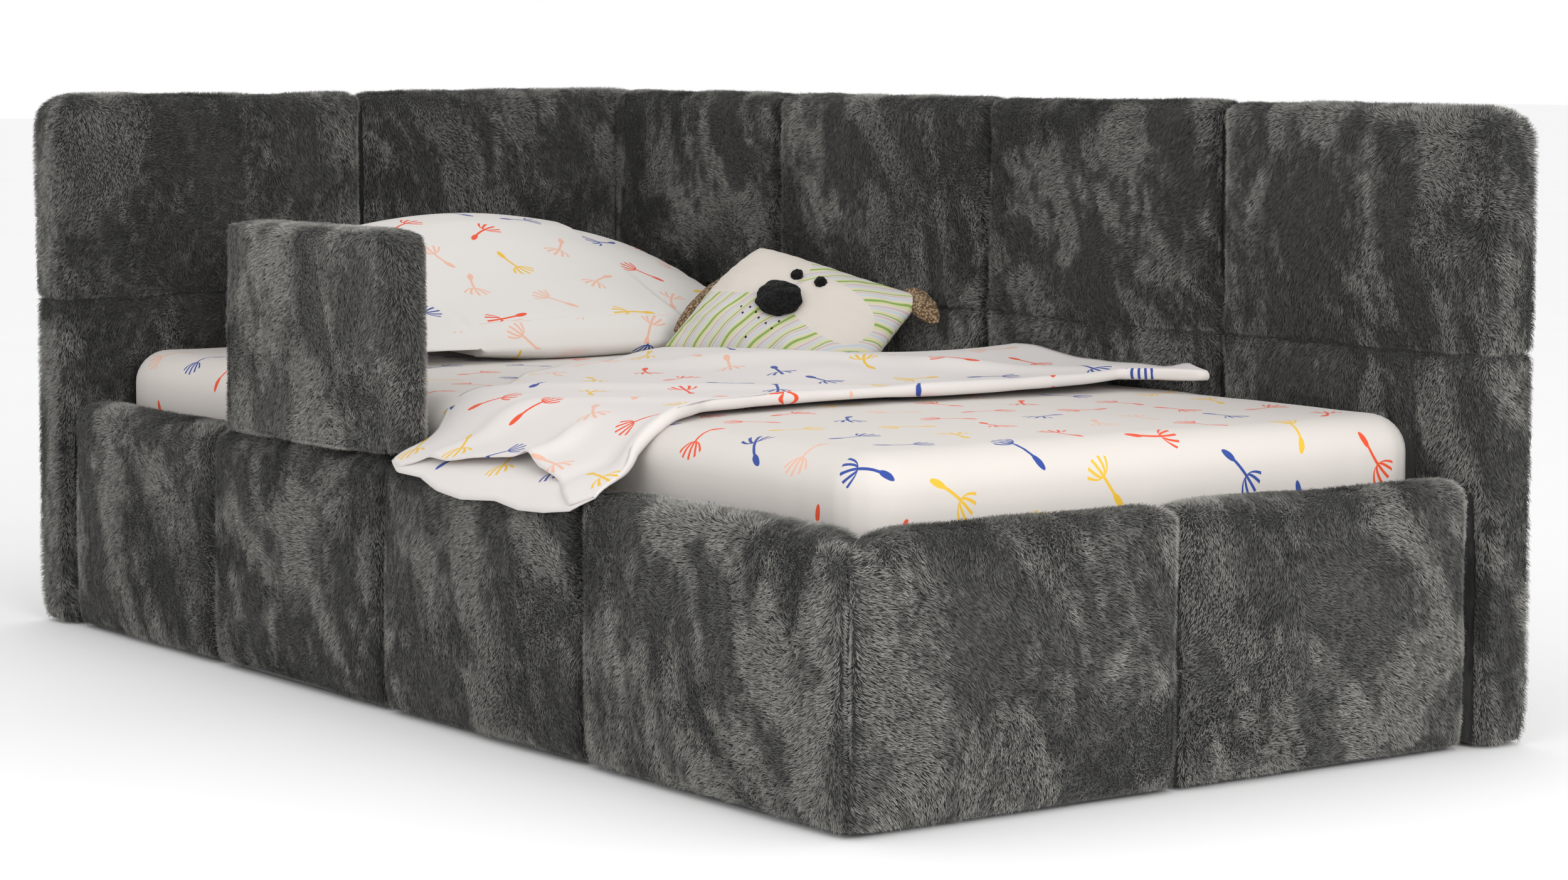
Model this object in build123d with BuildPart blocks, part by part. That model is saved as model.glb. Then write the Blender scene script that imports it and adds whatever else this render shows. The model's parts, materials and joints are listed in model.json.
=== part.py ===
"""Corner toddler bed: two tall padded walls, two low padded rails, a lift-off guard, a slatted
base, a mattress in its fitted sheet, and the loose bedding: pillow, blanket and toy cushion.

Units are millimetres. +Z is up and the origin is the centre of the footprint on the floor.
The head wall is at -X, the long back wall at +Y, the front rail at -Y, the foot rail at +X.
"""
from build123d import *
import os

# Overall size
LENGTH = 1770.0
DEPTH = 917.0
HEIGHT = 685.0
THICK = 80.0
RAIL_TOP = 290.0
SEAM_Z = 425.0
SKIRT_Z = 4.0

# Upholstery: foam in front of and behind a board, and the crown of each panel
FACE_FOAM = 50.0
LINING_FOAM = 12.0
END_WRAP = 18.0
TOP_WRAP = 30.0
CROWN = 12.0
CROWN_SPREAD = 1.5
CREASE_R = 15.0
MITRE_DROP = 3.0
MITRE_R = 4.0
TOP_R = 32.0
RAIL_REAR_R = 22.0
CORNER_R = 9.0
END_CORNER_R = 36.0
FRONT_SEAMS = (-420.0, -10.0, 401.0)
BACK_SEAMS = (-412.0, 27.0, 458.0)
FOOT_SEAM = -26.0
HEAD_SEAM = -8.0

# Boards and slatted base
BOARD = 18.0
FOOT_GAP = 4.0
BASE_TOP = 195.0
SLAT_T = 15.0
SLAT_W = 70.0
SLAT_COUNT = 13
SLAT_END_GAP = 2.0
SLAT_MARGIN = 65.0
LEDGER_H = 40.0
LEDGER_FRONT = 30.0
LEDGER_BACK = 60.0
PAD_CLEAR = 4.0
BEAM_W = 40.0
BEAM_H = 30.0
TUBE_WALL = 2.0
LEG_W = 30.0
LEG_XS = (-530.0, 0.0, 530.0)
LEG_FOOT_H = 6.0
LEG_FOOT_R = 20.0
GLIDE_R = 8.0
GLIDE_INSET = 60.0

# Fasteners
SCREW_R = 2.5
SCREW_HEAD_R = 5.0
SCREW_HEAD_H = 3.0
SCREW_DEPTH = 25.0
BRACKET_LEG = 45.0
BRACKET_LOW = 40.0
BRACKET_H = 70.0
PLATE_T = 3.0
BOLT_R = 4.0
BOLT_HEAD_R = 7.0
BOLT_HEAD_H = 4.0
BOLT_OUT = 28.0
BOLT_ZS = (57.0, 93.0)

# Guard
GUARD_X0 = -393.0
GUARD_X1 = 17.0
GUARD_TOP = 545.0
GUARD_REST = 0.5
GUARD_CORNER_R = 42.0
GUARD_EDGE_R = 26.0
GUARD_INSET = 28.0
TONGUE_W = 30.0
TONGUE_T = 5.0
TONGUE_IN = 95.0
TONGUE_BOTTOM = 165.0
TONGUE_TOP = 420.0
SOCKET_PLAY = 0.5
SOCKET_WALL = 2.0
SOCKET_BOTTOM = 150.0
SOCKET_SINK = 6.0
GUARD_SCREW_ZS = (350.0, 395.0)
GUARD_SCREW_IN = 14.0

# Bedding: the pillow's profile points are X and the height above what it lies on
LIE_GAP = 0.5
MATTRESS_TOP = 355.0
MATTRESS_L = 1606.0
MATTRESS_W = 752.0
MATTRESS_CORNER_R = 42.0
MATTRESS_EDGE_R = 32.0
MATTRESS_LOW_R = 18.0
SHEET_T = 2.0
SHEET_TUCK = 70.0
PILLOW_Y0 = -262.0
PILLOW_Y1 = 366.0
PILLOW_SIDE_H = 50.0
PILLOW_SIDE_IN = 30.0
PILLOW_CORNER_R = 80.0
PILLOW_PLAY = 6.0
PILLOW_H = 172.0
PILLOW_FRONT = (-345.0, 14.0)
PILLOW_SLOPE = (-505.0, 112.0)
PILLOW_CREST = (-655.0, 172.0)
PILLOW_SHOULDER = (-745.0, 158.0)
PILLOW_HEAD = (-792.0, 105.0)
PILLOW_UNDER = ((-735.0, 32.0), (-620.0, 0.0), (-350.0, 0.0))
BLANKET_T = 9.0
BLANKET_OUTLINE = ((24.0, -330.0), (-5.0, -321.0), (-141.0, -206.0), (-213.0, -95.0), (-240.0, 80.0),
                   (-205.0, 95.0), (-20.0, 215.0), (70.0, 290.0), (115.0, 366.0), (440.0, 366.0),
                   (520.0, 332.0), (412.0, 298.0), (380.0, -110.0), (396.0, -290.0), (432.0, -330.0))
FLAP_T = 5.0
FLAP_LOW = 266.0
FLAP_EDGES = (24.0, 440.0)
FLAP_BENDS = (35.0, 8.0, 27.0)
FLAP_START_Y = -326.0
FLAP_DROP_Y = -379.0
FLAP_OUT_Y = -455.0
TOY_CENTRE = (-185.0, 252.0, 402.0)
TOY_ACROSS = (0.926, 0.304, -0.223)
TOY_NORMAL = (0.370, -0.622, 0.691)
TOY_W = 285.0
TOY_H = 190.0
TOY_T = 84.0
NOSE_SIZE = (29.0, 22.0)
NOSE_OUT = (37.0, 17.0)
EYE_R = 8.0
EYE_SPOTS = ((-10.0, 43.0), (27.0, 44.0))
EYE_OUT = (30.0, 14.0)
EAR_T = 12.0
EARS = (((-137.0, -18.0), (20.0, 55.0), -8.0), ((144.0, 84.0), (37.0, 15.0), -24.0))

# Derived positions
X0 = -LENGTH / 2
X1 = LENGTH / 2
Y0 = -DEPTH / 2
Y1 = DEPTH / 2
HEAD_FACE_X = X0 + THICK
BACK_FACE_Y = Y1 - THICK
HEAD_BOARD_X = HEAD_FACE_X - FACE_FOAM
BACK_BOARD_Y = BACK_FACE_Y + FACE_FOAM
FRONT_BOARD_Y = Y0 + THICK - LINING_FOAM
FOOT_BOARD_X = X1 - THICK + LINING_FOAM
LEDGER_TOP = BASE_TOP - SLAT_T
BOARD_TOP = HEIGHT - TOP_WRAP
RAIL_BOARD_TOP = RAIL_TOP - TOP_WRAP
SHEET_LOW = BASE_TOP + LIE_GAP
LIE_Z = MATTRESS_TOP + LIE_GAP
FROM_START = (Align.CENTER, Align.CENTER, Align.MIN)

os.makedirs("parts", exist_ok=True)


def save(builder, name):
    """Label a finished piece and write it to its own STEP file."""
    builder.part.label = name
    export_step(builder.part, "parts/" + name + ".step")


def slab(x_low, x_high, y_low, y_high, z_low, z_high):
    """A rectangular board or clearance block between two corners."""
    with BuildPart() as block:
        with BuildSketch(Plane.XY.offset(z_low)):
            with Locations(((x_low + x_high) / 2, (y_low + y_high) / 2)):
                Rectangle(x_high - x_low, y_high - y_low)
        extrude(amount=z_high - z_low)
    return block


def corner_of(sketch, x, y):
    """The vertex of a sketch nearest to a point in the sketch's own plane."""
    return sketch.vertices().sort_by_distance((x, y))[0]


def edges_of(start, seams, stop):
    """Start and width of each panel between the seams of one wall."""
    marks = (start, *seams, stop)
    return [(low, high - low) for low, high in zip(marks, marks[1:])]


# ---------------------------------------------------------------- corner bolts and brackets
# Each inner corner of the four boards, turned so that its X and Y run along the two boards
inner_corners = [
    Location((HEAD_BOARD_X, FRONT_BOARD_Y, 0), (0, 0, 0)),
    Location((FOOT_BOARD_X, FRONT_BOARD_Y, 0), (0, 0, 90)),
    Location((FOOT_BOARD_X, BACK_BOARD_Y, 0), (0, 0, 180)),
    Location((HEAD_BOARD_X, BACK_BOARD_Y, 0), (0, 0, 270)),
]
bolt_places = []
for place in inner_corners:
    for z in BOLT_ZS:
        bolt_places.append(place * Location((BOLT_OUT, 0, z), (90, 0, 0)))
        bolt_places.append(place * Location((0, BOLT_OUT, z), (0, -90, 0)))

with BuildPart() as bolts:
    with Locations([place * Location((0, 0, -PLATE_T)) for place in bolt_places]):
        Cylinder(BOLT_R, PLATE_T + BOARD, align=FROM_START)
    with Locations([place * Location((0, 0, -PLATE_T - BOLT_HEAD_H)) for place in bolt_places]):
        Cylinder(BOLT_HEAD_R, BOLT_HEAD_H, align=FROM_START)
save(bolts, "bracket_bolts")

with BuildPart() as brackets:
    for place in inner_corners:
        with BuildSketch(Plane(place).offset(BRACKET_LOW)):
            with BuildLine():
                Polyline((0, 0), (BRACKET_LEG, 0), (BRACKET_LEG, PLATE_T), (PLATE_T, PLATE_T),
                         (PLATE_T, BRACKET_LEG), (0, BRACKET_LEG), close=True)
            make_face()
        extrude(amount=BRACKET_H)
    add(bolts.part, mode=Mode.SUBTRACT)
save(brackets, "corner_brackets")


# ---------------------------------------------------------------- boards
def board(name, *sides):
    """A board between two corners, drilled for the bracket bolts."""
    with BuildPart() as panel:
        add(slab(*sides).part)
        add(bolts.part, mode=Mode.SUBTRACT)
    save(panel, name)
    return panel


boards = (
    board("head_wall_board", HEAD_BOARD_X - BOARD, HEAD_BOARD_X,
          Y0 + END_WRAP, Y1 - LINING_FOAM, FOOT_GAP, BOARD_TOP),
    board("back_wall_board", HEAD_BOARD_X, X1 - END_WRAP,
          BACK_BOARD_Y, BACK_BOARD_Y + BOARD, FOOT_GAP, BOARD_TOP),
    board("front_rail_board", HEAD_BOARD_X, FOOT_BOARD_X + BOARD,
          FRONT_BOARD_Y - BOARD, FRONT_BOARD_Y, FOOT_GAP, RAIL_BOARD_TOP),
    board("foot_rail_board", FOOT_BOARD_X, FOOT_BOARD_X + BOARD,
          FRONT_BOARD_Y, BACK_BOARD_Y, FOOT_GAP, RAIL_BOARD_TOP),
)

# The bare space inside the boards below the slats' top, which the foam leaves free
well = slab(HEAD_BOARD_X, FOOT_BOARD_X, FRONT_BOARD_Y, BACK_BOARD_Y, 0, BASE_TOP + PAD_CLEAR)

# Plain padded linings on the walls' outer faces, below the upper panels' wrap
linings = {
    "head_wall_lining": slab(X0, X0 + LINING_FOAM, Y0 + END_WRAP, Y1 - LINING_FOAM, SKIRT_Z, SEAM_Z),
    "back_wall_lining": slab(X0, X1 - END_WRAP, Y1 - LINING_FOAM, Y1, SKIRT_Z, SEAM_Z),
}
for name, lining in linings.items():
    save(lining, name)


# ---------------------------------------------------------------- guard sockets
TONGUE_Y = FRONT_BOARD_Y - BOARD - SOCKET_WALL - SOCKET_PLAY - TONGUE_T / 2
TONGUE_XS = (GUARD_X0 + TONGUE_IN, GUARD_X1 - TONGUE_IN)
SOCKET_IN_W = TONGUE_W + 2 * SOCKET_PLAY
SOCKET_IN_T = TONGUE_T + 2 * SOCKET_PLAY
SOCKET_OUT_W = SOCKET_IN_W + 2 * SOCKET_WALL
SOCKET_OUT_T = SOCKET_IN_T + 2 * SOCKET_WALL
SOCKET_TOP = RAIL_TOP - SOCKET_SINK

with BuildPart() as sockets:
    with BuildSketch(Plane.XY.offset(SOCKET_BOTTOM)):
        with Locations([(x, TONGUE_Y) for x in TONGUE_XS]):
            Rectangle(SOCKET_OUT_W, SOCKET_OUT_T)
            Rectangle(SOCKET_IN_W, SOCKET_IN_T, mode=Mode.SUBTRACT)
    extrude(amount=SOCKET_TOP - SOCKET_BOTTOM)
save(sockets, "guard_sockets")

# The slots in the front rail's foam that hold the sockets, open at the top
with BuildPart() as socket_room:
    with BuildSketch(Plane.XY.offset(SOCKET_BOTTOM)):
        with Locations([(x, TONGUE_Y) for x in TONGUE_XS]):
            Rectangle(SOCKET_OUT_W, SOCKET_OUT_T)
    extrude(amount=HEIGHT)


# ---------------------------------------------------------------- upholstered pads
def pad(name, corner, run, width, low, high, front_r=CREASE_R, rear_r=0, mitre=(0, 0),
        tuck=CROWN / 2, free_x=None):
    """One padded panel of a wall or rail, crowned in plan and in section.

    corner is the panel's start on its visible face and run the direction along the wall: the
    visible face is to the right of run. front_r and rear_r round the top edges, mitre cuts the rear
    face back at each end, tuck draws the upper and lower edges in, and free_x is an exposed end.
    """
    drops = [MITRE_DROP if cut else CROWN for cut in mitre]
    start = (mitre[0] * drops[0] / THICK, drops[0])
    stop = (width - mitre[1] * drops[1] / THICK, drops[1])
    rear = Vector(0, 0, 1).cross(Vector(run))
    origin = Vector(corner)
    plan = Plane(origin=origin + Vector(0, 0, low), x_dir=run, z_dir=(0, 0, 1))
    section = Plane(origin=origin, x_dir=rear, z_dir=run)
    face = Plane(origin=origin + rear * THICK, x_dir=run, z_dir=rear * -1)
    with BuildPart() as panel:
        with BuildSketch(plan) as outline:
            with BuildLine():
                Polyline(start, (mitre[0], THICK), (width - mitre[1], THICK), stop)
                ThreePointArc(stop, (width / 2, -CROWN_SPREAD), start)
            make_face()
            for point, cut in ((start, mitre[0]), (stop, mitre[1])):
                fillet(corner_of(outline, *point), MITRE_R if cut else CREASE_R)
        extrude(amount=high - low)
        with BuildSketch(section) as profile:
            with BuildLine():
                Polyline((tuck, low), (THICK, low), (THICK, high), (tuck, high))
                ThreePointArc((tuck, high), (0, (low + high) / 2), (tuck, low))
            make_face()
            fillet(corner_of(profile, tuck, high), front_r)
            if rear_r:
                fillet(corner_of(profile, THICK, high), rear_r)
        extrude(amount=width, mode=Mode.INTERSECT)
        with BuildSketch(face) as view:
            with Locations((width / 2, (low + high) / 2)):
                Rectangle(width, high - low)
            for x in (0, width):
                fillet(corner_of(view, x, high), END_CORNER_R if x == free_x else CORNER_R)
        extrude(amount=THICK, mode=Mode.INTERSECT)
        for cut in (*boards, *linings.values(), bolts, well, socket_room):
            add(cut.part, mode=Mode.SUBTRACT)
    save(panel, name)


# Front rail: four pads, the last one mitred at the near corner
front_columns = edges_of(HEAD_FACE_X, FRONT_SEAMS, X1)
for number, (start, width) in enumerate(front_columns, 1):
    at_corner = number == len(front_columns)
    pad(f"front_pad_{number}", (start, Y0, 0), (1, 0, 0), width, SKIRT_Z, RAIL_TOP,
        front_r=TOP_R, rear_r=RAIL_REAR_R, mitre=(0, THICK if at_corner else 0), tuck=CROWN)

# Foot rail: two pads, the first one mitred at the near corner
for number, (start, width) in enumerate(edges_of(Y0, (FOOT_SEAM,), BACK_FACE_Y), 1):
    at_corner = number == 1
    pad(f"foot_pad_{number}", (X1, start, 0), (0, 1, 0), width, SKIRT_Z, RAIL_TOP,
        front_r=TOP_R, rear_r=RAIL_REAR_R, mitre=(THICK if at_corner else 0, 0), tuck=CROWN)

# Head wall: two columns of two pads, with both ends exposed
for number, (start, width) in enumerate(edges_of(Y0, (HEAD_SEAM,), Y1), 1):
    end = 0 if number == 1 else width
    pad(f"head_upper_pad_{number}", (HEAD_FACE_X, start, 0), (0, 1, 0), width, SEAM_Z, HEIGHT,
        front_r=TOP_R, rear_r=TOP_R, free_x=end)
for number, (start, width) in enumerate(edges_of(Y0, (HEAD_SEAM,), BACK_BOARD_Y), 1):
    pad(f"head_lower_pad_{number}", (HEAD_FACE_X, start, 0), (0, 1, 0), width, SKIRT_Z, SEAM_Z)

# Back wall: four columns of two pads, its foot end exposed
back_columns = edges_of(HEAD_FACE_X, BACK_SEAMS, X1)
for number, (start, width) in enumerate(back_columns, 1):
    end = width if number == len(back_columns) else None
    pad(f"back_upper_pad_{number}", (start, BACK_FACE_Y, 0), (1, 0, 0), width, SEAM_Z, HEIGHT,
        front_r=TOP_R, rear_r=TOP_R, free_x=end)
    pad(f"back_lower_pad_{number}", (start, BACK_FACE_Y, 0), (1, 0, 0), width, SKIRT_Z, SEAM_Z)


# ---------------------------------------------------------------- slatted base
SLAT_Y0 = FRONT_BOARD_Y + SLAT_END_GAP
SLAT_Y1 = BACK_BOARD_Y - SLAT_END_GAP
SLAT_FIRST = HEAD_FACE_X + SLAT_MARGIN
SLAT_STEP = (FOOT_BOARD_X - SLAT_MARGIN - SLAT_FIRST) / (SLAT_COUNT - 1)
slat_xs = [SLAT_FIRST + i * SLAT_STEP for i in range(SLAT_COUNT)]
screw_ys = (FRONT_BOARD_Y + LEDGER_FRONT / 2, BACK_BOARD_Y - LEDGER_BACK / 2)
screw_spots = [(x, y) for x in slat_xs for y in screw_ys]

with BuildPart() as slat_screws:
    with BuildSketch(Plane.XY.offset(LEDGER_TOP - SCREW_DEPTH)):
        with Locations(screw_spots):
            Circle(SCREW_R)
    extrude(amount=SCREW_DEPTH + SLAT_T)
    with BuildSketch(Plane.XY.offset(BASE_TOP - SCREW_HEAD_H)):
        with Locations(screw_spots):
            Circle(SCREW_HEAD_R)
    extrude(amount=SCREW_HEAD_H)
save(slat_screws, "slat_screws")

with BuildPart() as slats:
    with BuildSketch(Plane.XY.offset(LEDGER_TOP)):
        with Locations([(x, (SLAT_Y0 + SLAT_Y1) / 2) for x in slat_xs]):
            RectangleRounded(SLAT_W, SLAT_Y1 - SLAT_Y0, 5)
    extrude(amount=SLAT_T)
    add(slat_screws.part, mode=Mode.SUBTRACT)
save(slats, "slats")

LEDGER_Y0 = FRONT_BOARD_Y + LEDGER_FRONT
LEDGER_Y1 = BACK_BOARD_Y - LEDGER_BACK
BEAM_START = HEAD_BOARD_X + LEDGER_BACK
BEAM_STOP = FOOT_BOARD_X - LEDGER_FRONT
ledgers = {
    "front_ledger": (HEAD_BOARD_X, FOOT_BOARD_X, FRONT_BOARD_Y, LEDGER_Y0),
    "back_ledger": (HEAD_BOARD_X, FOOT_BOARD_X, LEDGER_Y1, BACK_BOARD_Y),
    "head_ledger": (HEAD_BOARD_X, BEAM_START, LEDGER_Y0, LEDGER_Y1),
    "foot_ledger": (BEAM_STOP, FOOT_BOARD_X, LEDGER_Y0, LEDGER_Y1),
}
for name, sides in ledgers.items():
    with BuildPart() as ledger:
        add(slab(*sides, LEDGER_TOP - LEDGER_H, LEDGER_TOP).part)
        add(slat_screws.part, mode=Mode.SUBTRACT)
    save(ledger, name)

with BuildPart() as beam:
    with BuildSketch(Plane.YZ.offset(BEAM_START)):
        with Locations((0, LEDGER_TOP - BEAM_H / 2)):
            RectangleRounded(BEAM_W, BEAM_H, 3)
            RectangleRounded(BEAM_W - 2 * TUBE_WALL, BEAM_H - 2 * TUBE_WALL, 1, mode=Mode.SUBTRACT)
    extrude(amount=BEAM_STOP - BEAM_START)
save(beam, "centre_beam")

leg_spots = [(x, 0) for x in LEG_XS]
with BuildPart() as legs:
    with BuildSketch(Plane.XY.offset(LEG_FOOT_H)):
        with Locations(leg_spots):
            RectangleRounded(LEG_W, LEG_W, 3)
            RectangleRounded(LEG_W - 2 * TUBE_WALL, LEG_W - 2 * TUBE_WALL, 1, mode=Mode.SUBTRACT)
    extrude(amount=LEDGER_TOP - BEAM_H - LEG_FOOT_H)
save(legs, "centre_legs")

with BuildPart() as leg_feet:
    with BuildSketch():
        with Locations(leg_spots):
            Circle(LEG_FOOT_R)
    extrude(amount=LEG_FOOT_H)
save(leg_feet, "centre_leg_feet")

# Wooden blocks against the end ledgers, on which the ends of the centre beam rest
with BuildPart() as beam_blocks:
    with BuildSketch(Plane.XY.offset(LEDGER_TOP - LEDGER_H)):
        with Locations((BEAM_START + BEAM_W / 2, 0), (BEAM_STOP - BEAM_W / 2, 0)):
            Rectangle(BEAM_W, BEAM_W)
    extrude(amount=LEDGER_H - BEAM_H)
save(beam_blocks, "beam_blocks")

# Plastic glides under the lower edges of the four boards
glide_spots = []
for x in (HEAD_BOARD_X + GLIDE_INSET, 0, X1 - END_WRAP - GLIDE_INSET):
    glide_spots.append((x, BACK_BOARD_Y + BOARD / 2))
for x in (HEAD_BOARD_X + GLIDE_INSET, 0, FOOT_BOARD_X - GLIDE_INSET):
    glide_spots.append((x, FRONT_BOARD_Y - BOARD / 2))
for y in (Y0 + END_WRAP + GLIDE_INSET, Y1 - LINING_FOAM - GLIDE_INSET):
    glide_spots.append((HEAD_BOARD_X - BOARD / 2, y))
for y in (FRONT_BOARD_Y + GLIDE_INSET, BACK_BOARD_Y - GLIDE_INSET):
    glide_spots.append((FOOT_BOARD_X + BOARD / 2, y))
with BuildPart() as glides:
    with BuildSketch():
        with Locations(glide_spots):
            Circle(GLIDE_R)
    extrude(amount=FOOT_GAP)
save(glides, "glides")


# ---------------------------------------------------------------- guard
GUARD_W = GUARD_X1 - GUARD_X0
GUARD_LOW = RAIL_TOP + GUARD_REST
GUARD_H = GUARD_TOP - GUARD_LOW
GUARD_MID = ((GUARD_X0 + GUARD_X1) / 2, (GUARD_LOW + GUARD_TOP) / 2)
TONGUE_FACE_Y = TONGUE_Y + TONGUE_T / 2
TONGUE_H = TONGUE_TOP - TONGUE_BOTTOM
guard_screw_spots = [(x, z) for x in TONGUE_XS for z in GUARD_SCREW_ZS]

with BuildPart() as guard_screws:
    with BuildSketch(Plane.XZ.offset(-TONGUE_FACE_Y - GUARD_SCREW_IN)):
        with Locations(guard_screw_spots):
            Circle(SCREW_R)
    extrude(amount=GUARD_SCREW_IN + TONGUE_T)
    with BuildSketch(Plane.XZ.offset(-TONGUE_FACE_Y + TONGUE_T)):
        with Locations(guard_screw_spots):
            Circle(SCREW_HEAD_R)
    extrude(amount=SCREW_HEAD_H)
save(guard_screws, "guard_screws")

with BuildPart() as tongues:
    with BuildSketch(Plane.XZ.offset(-TONGUE_FACE_Y)):
        with Locations([(x, TONGUE_BOTTOM + TONGUE_H / 2) for x in TONGUE_XS]):
            RectangleRounded(TONGUE_W, TONGUE_H, 6)
    extrude(amount=TONGUE_T)
    add(guard_screws.part, mode=Mode.SUBTRACT)
save(tongues, "guard_tongues")

with BuildPart() as guard_board:
    with BuildSketch(Plane.XZ.offset(-TONGUE_FACE_Y - BOARD)):
        with Locations(GUARD_MID):
            RectangleRounded(GUARD_W - 2 * GUARD_INSET, GUARD_H - 2 * GUARD_INSET, 20)
    extrude(amount=BOARD)
    add(guard_screws.part, mode=Mode.SUBTRACT)
save(guard_board, "guard_board")

with BuildPart() as guard_pad:
    with BuildSketch(Plane.XY.offset(GUARD_LOW)) as outline:
        with BuildLine():
            ThreePointArc((GUARD_X0, Y0 + CROWN), (GUARD_MID[0], Y0), (GUARD_X1, Y0 + CROWN))
            Line((GUARD_X1, Y0 + CROWN), (GUARD_X1, Y0 + THICK - CROWN))
            ThreePointArc((GUARD_X1, Y0 + THICK - CROWN), (GUARD_MID[0], Y0 + THICK),
                          (GUARD_X0, Y0 + THICK - CROWN))
            Line((GUARD_X0, Y0 + THICK - CROWN), (GUARD_X0, Y0 + CROWN))
        make_face()
        fillet(outline.vertices(), GUARD_EDGE_R)
    extrude(amount=GUARD_H)
    with BuildSketch(Plane.YZ.offset(GUARD_X0)) as profile:
        with Locations((Y0 + THICK / 2, GUARD_MID[1])):
            Rectangle(THICK, GUARD_H)
        fillet(profile.vertices().group_by(Axis.Y)[-1], GUARD_EDGE_R)
        fillet(profile.vertices().group_by(Axis.Y)[0], CORNER_R)
    extrude(amount=GUARD_W, mode=Mode.INTERSECT)
    with BuildSketch(Plane.XZ.offset(-Y0 - THICK)) as view:
        with Locations(GUARD_MID):
            Rectangle(GUARD_W, GUARD_H)
        fillet(view.vertices().group_by(Axis.Y)[-1], GUARD_CORNER_R)
        fillet(view.vertices().group_by(Axis.Y)[0], CORNER_R)
    extrude(amount=THICK, mode=Mode.INTERSECT)
    for inner in (guard_board, tongues, guard_screws):
        add(inner.part, mode=Mode.SUBTRACT)
save(guard_pad, "guard_pad")


# ---------------------------------------------------------------- mattress and fitted sheet
def rounded_block(length, width, low, high, corner_r, top_r, low_r):
    """A mattress-shaped block with round plan corners and round upper and lower edges."""
    with BuildPart() as block:
        with BuildSketch(Plane.XY.offset(low)):
            RectangleRounded(length, width, corner_r)
        extrude(amount=high - low)
        fillet(block.faces().sort_by(Axis.Z)[-1].edges(), top_r)
        fillet(block.faces().sort_by(Axis.Z)[0].edges(), low_r)
    return block


mattress = rounded_block(MATTRESS_L - 2 * SHEET_T, MATTRESS_W - 2 * SHEET_T, SHEET_LOW + SHEET_T,
                         MATTRESS_TOP - SHEET_T, MATTRESS_CORNER_R - SHEET_T,
                         MATTRESS_EDGE_R - SHEET_T, MATTRESS_LOW_R - SHEET_T)
save(mattress, "mattress")

wrapped = rounded_block(MATTRESS_L, MATTRESS_W, SHEET_LOW, MATTRESS_TOP, MATTRESS_CORNER_R,
                        MATTRESS_EDGE_R, MATTRESS_LOW_R)
with BuildPart() as fitted_sheet:
    add(wrapped.part)
    add(mattress.part, mode=Mode.SUBTRACT)
    with BuildSketch(Plane.XY.offset(SHEET_LOW)):
        RectangleRounded(MATTRESS_L - 2 * SHEET_TUCK, MATTRESS_W - 2 * SHEET_TUCK, MATTRESS_CORNER_R)
    extrude(amount=SHEET_T, mode=Mode.SUBTRACT)
save(fitted_sheet, "fitted_sheet")


# ---------------------------------------------------------------- pillow
# A side profile leaning up towards the head wall, cut to a bowed outline across the bed
with BuildPart() as pillow:
    with BuildSketch(Plane(origin=(0, PILLOW_Y0, LIE_Z), x_dir=(1, 0, 0), z_dir=(0, -1, 0))):
        with BuildLine():
            ThreePointArc(PILLOW_FRONT, PILLOW_SLOPE, PILLOW_CREST)
            ThreePointArc(PILLOW_CREST, PILLOW_SHOULDER, PILLOW_HEAD)
            Polyline(PILLOW_HEAD, *PILLOW_UNDER, PILLOW_FRONT)
        make_face()
    extrude(amount=PILLOW_Y0 - PILLOW_Y1)
    with BuildSketch(Plane.YZ.offset(X0)):
        with BuildLine():
            side_z = LIE_Z + PILLOW_SIDE_H
            ThreePointArc((PILLOW_Y0, side_z), ((PILLOW_Y0 + PILLOW_Y1) / 2, LIE_Z + PILLOW_H),
                          (PILLOW_Y1, side_z))
            Polyline((PILLOW_Y1, side_z), (PILLOW_Y1 - PILLOW_SIDE_IN, LIE_Z),
                     (PILLOW_Y0 + PILLOW_SIDE_IN, LIE_Z), (PILLOW_Y0, side_z))
        make_face()
    extrude(amount=LENGTH, mode=Mode.INTERSECT)
    with BuildSketch(Plane.XY.offset(LIE_Z)):
        with Locations(((PILLOW_FRONT[0] + PILLOW_HEAD[0]) / 2, (PILLOW_Y0 + PILLOW_Y1) / 2)):
            RectangleRounded(PILLOW_FRONT[0] - PILLOW_HEAD[0] + PILLOW_PLAY,
                             PILLOW_Y1 - PILLOW_Y0 + PILLOW_PLAY, PILLOW_CORNER_R)
    extrude(amount=HEIGHT, mode=Mode.INTERSECT)
save(pillow, "pillow")


# ---------------------------------------------------------------- blanket
# A band across the mattress, with its front end laid over the mattress edge and the front rail
with BuildPart() as blanket:
    with BuildSketch(Plane.XY.offset(LIE_Z)):
        with BuildLine():
            Polyline(*BLANKET_OUTLINE, close=True)
        make_face()
    extrude(amount=BLANKET_T)
    with BuildSketch(Plane.YZ.offset(FLAP_EDGES[0])):
        with BuildLine():
            flap = FilletPolyline((FLAP_START_Y, LIE_Z + FLAP_T / 2), (FLAP_DROP_Y, LIE_Z + FLAP_T / 2),
                                  (FLAP_DROP_Y, RAIL_TOP + FLAP_T), (FLAP_OUT_Y, RAIL_TOP + FLAP_T),
                                  (FLAP_OUT_Y, FLAP_LOW), radius=FLAP_BENDS)
        trace(flap, FLAP_T)
    extrude(amount=FLAP_EDGES[1] - FLAP_EDGES[0])
save(blanket, "blanket")


# ---------------------------------------------------------------- toy cushion
toy = Plane(origin=TOY_CENTRE, x_dir=TOY_ACROSS, z_dir=TOY_NORMAL)


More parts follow.
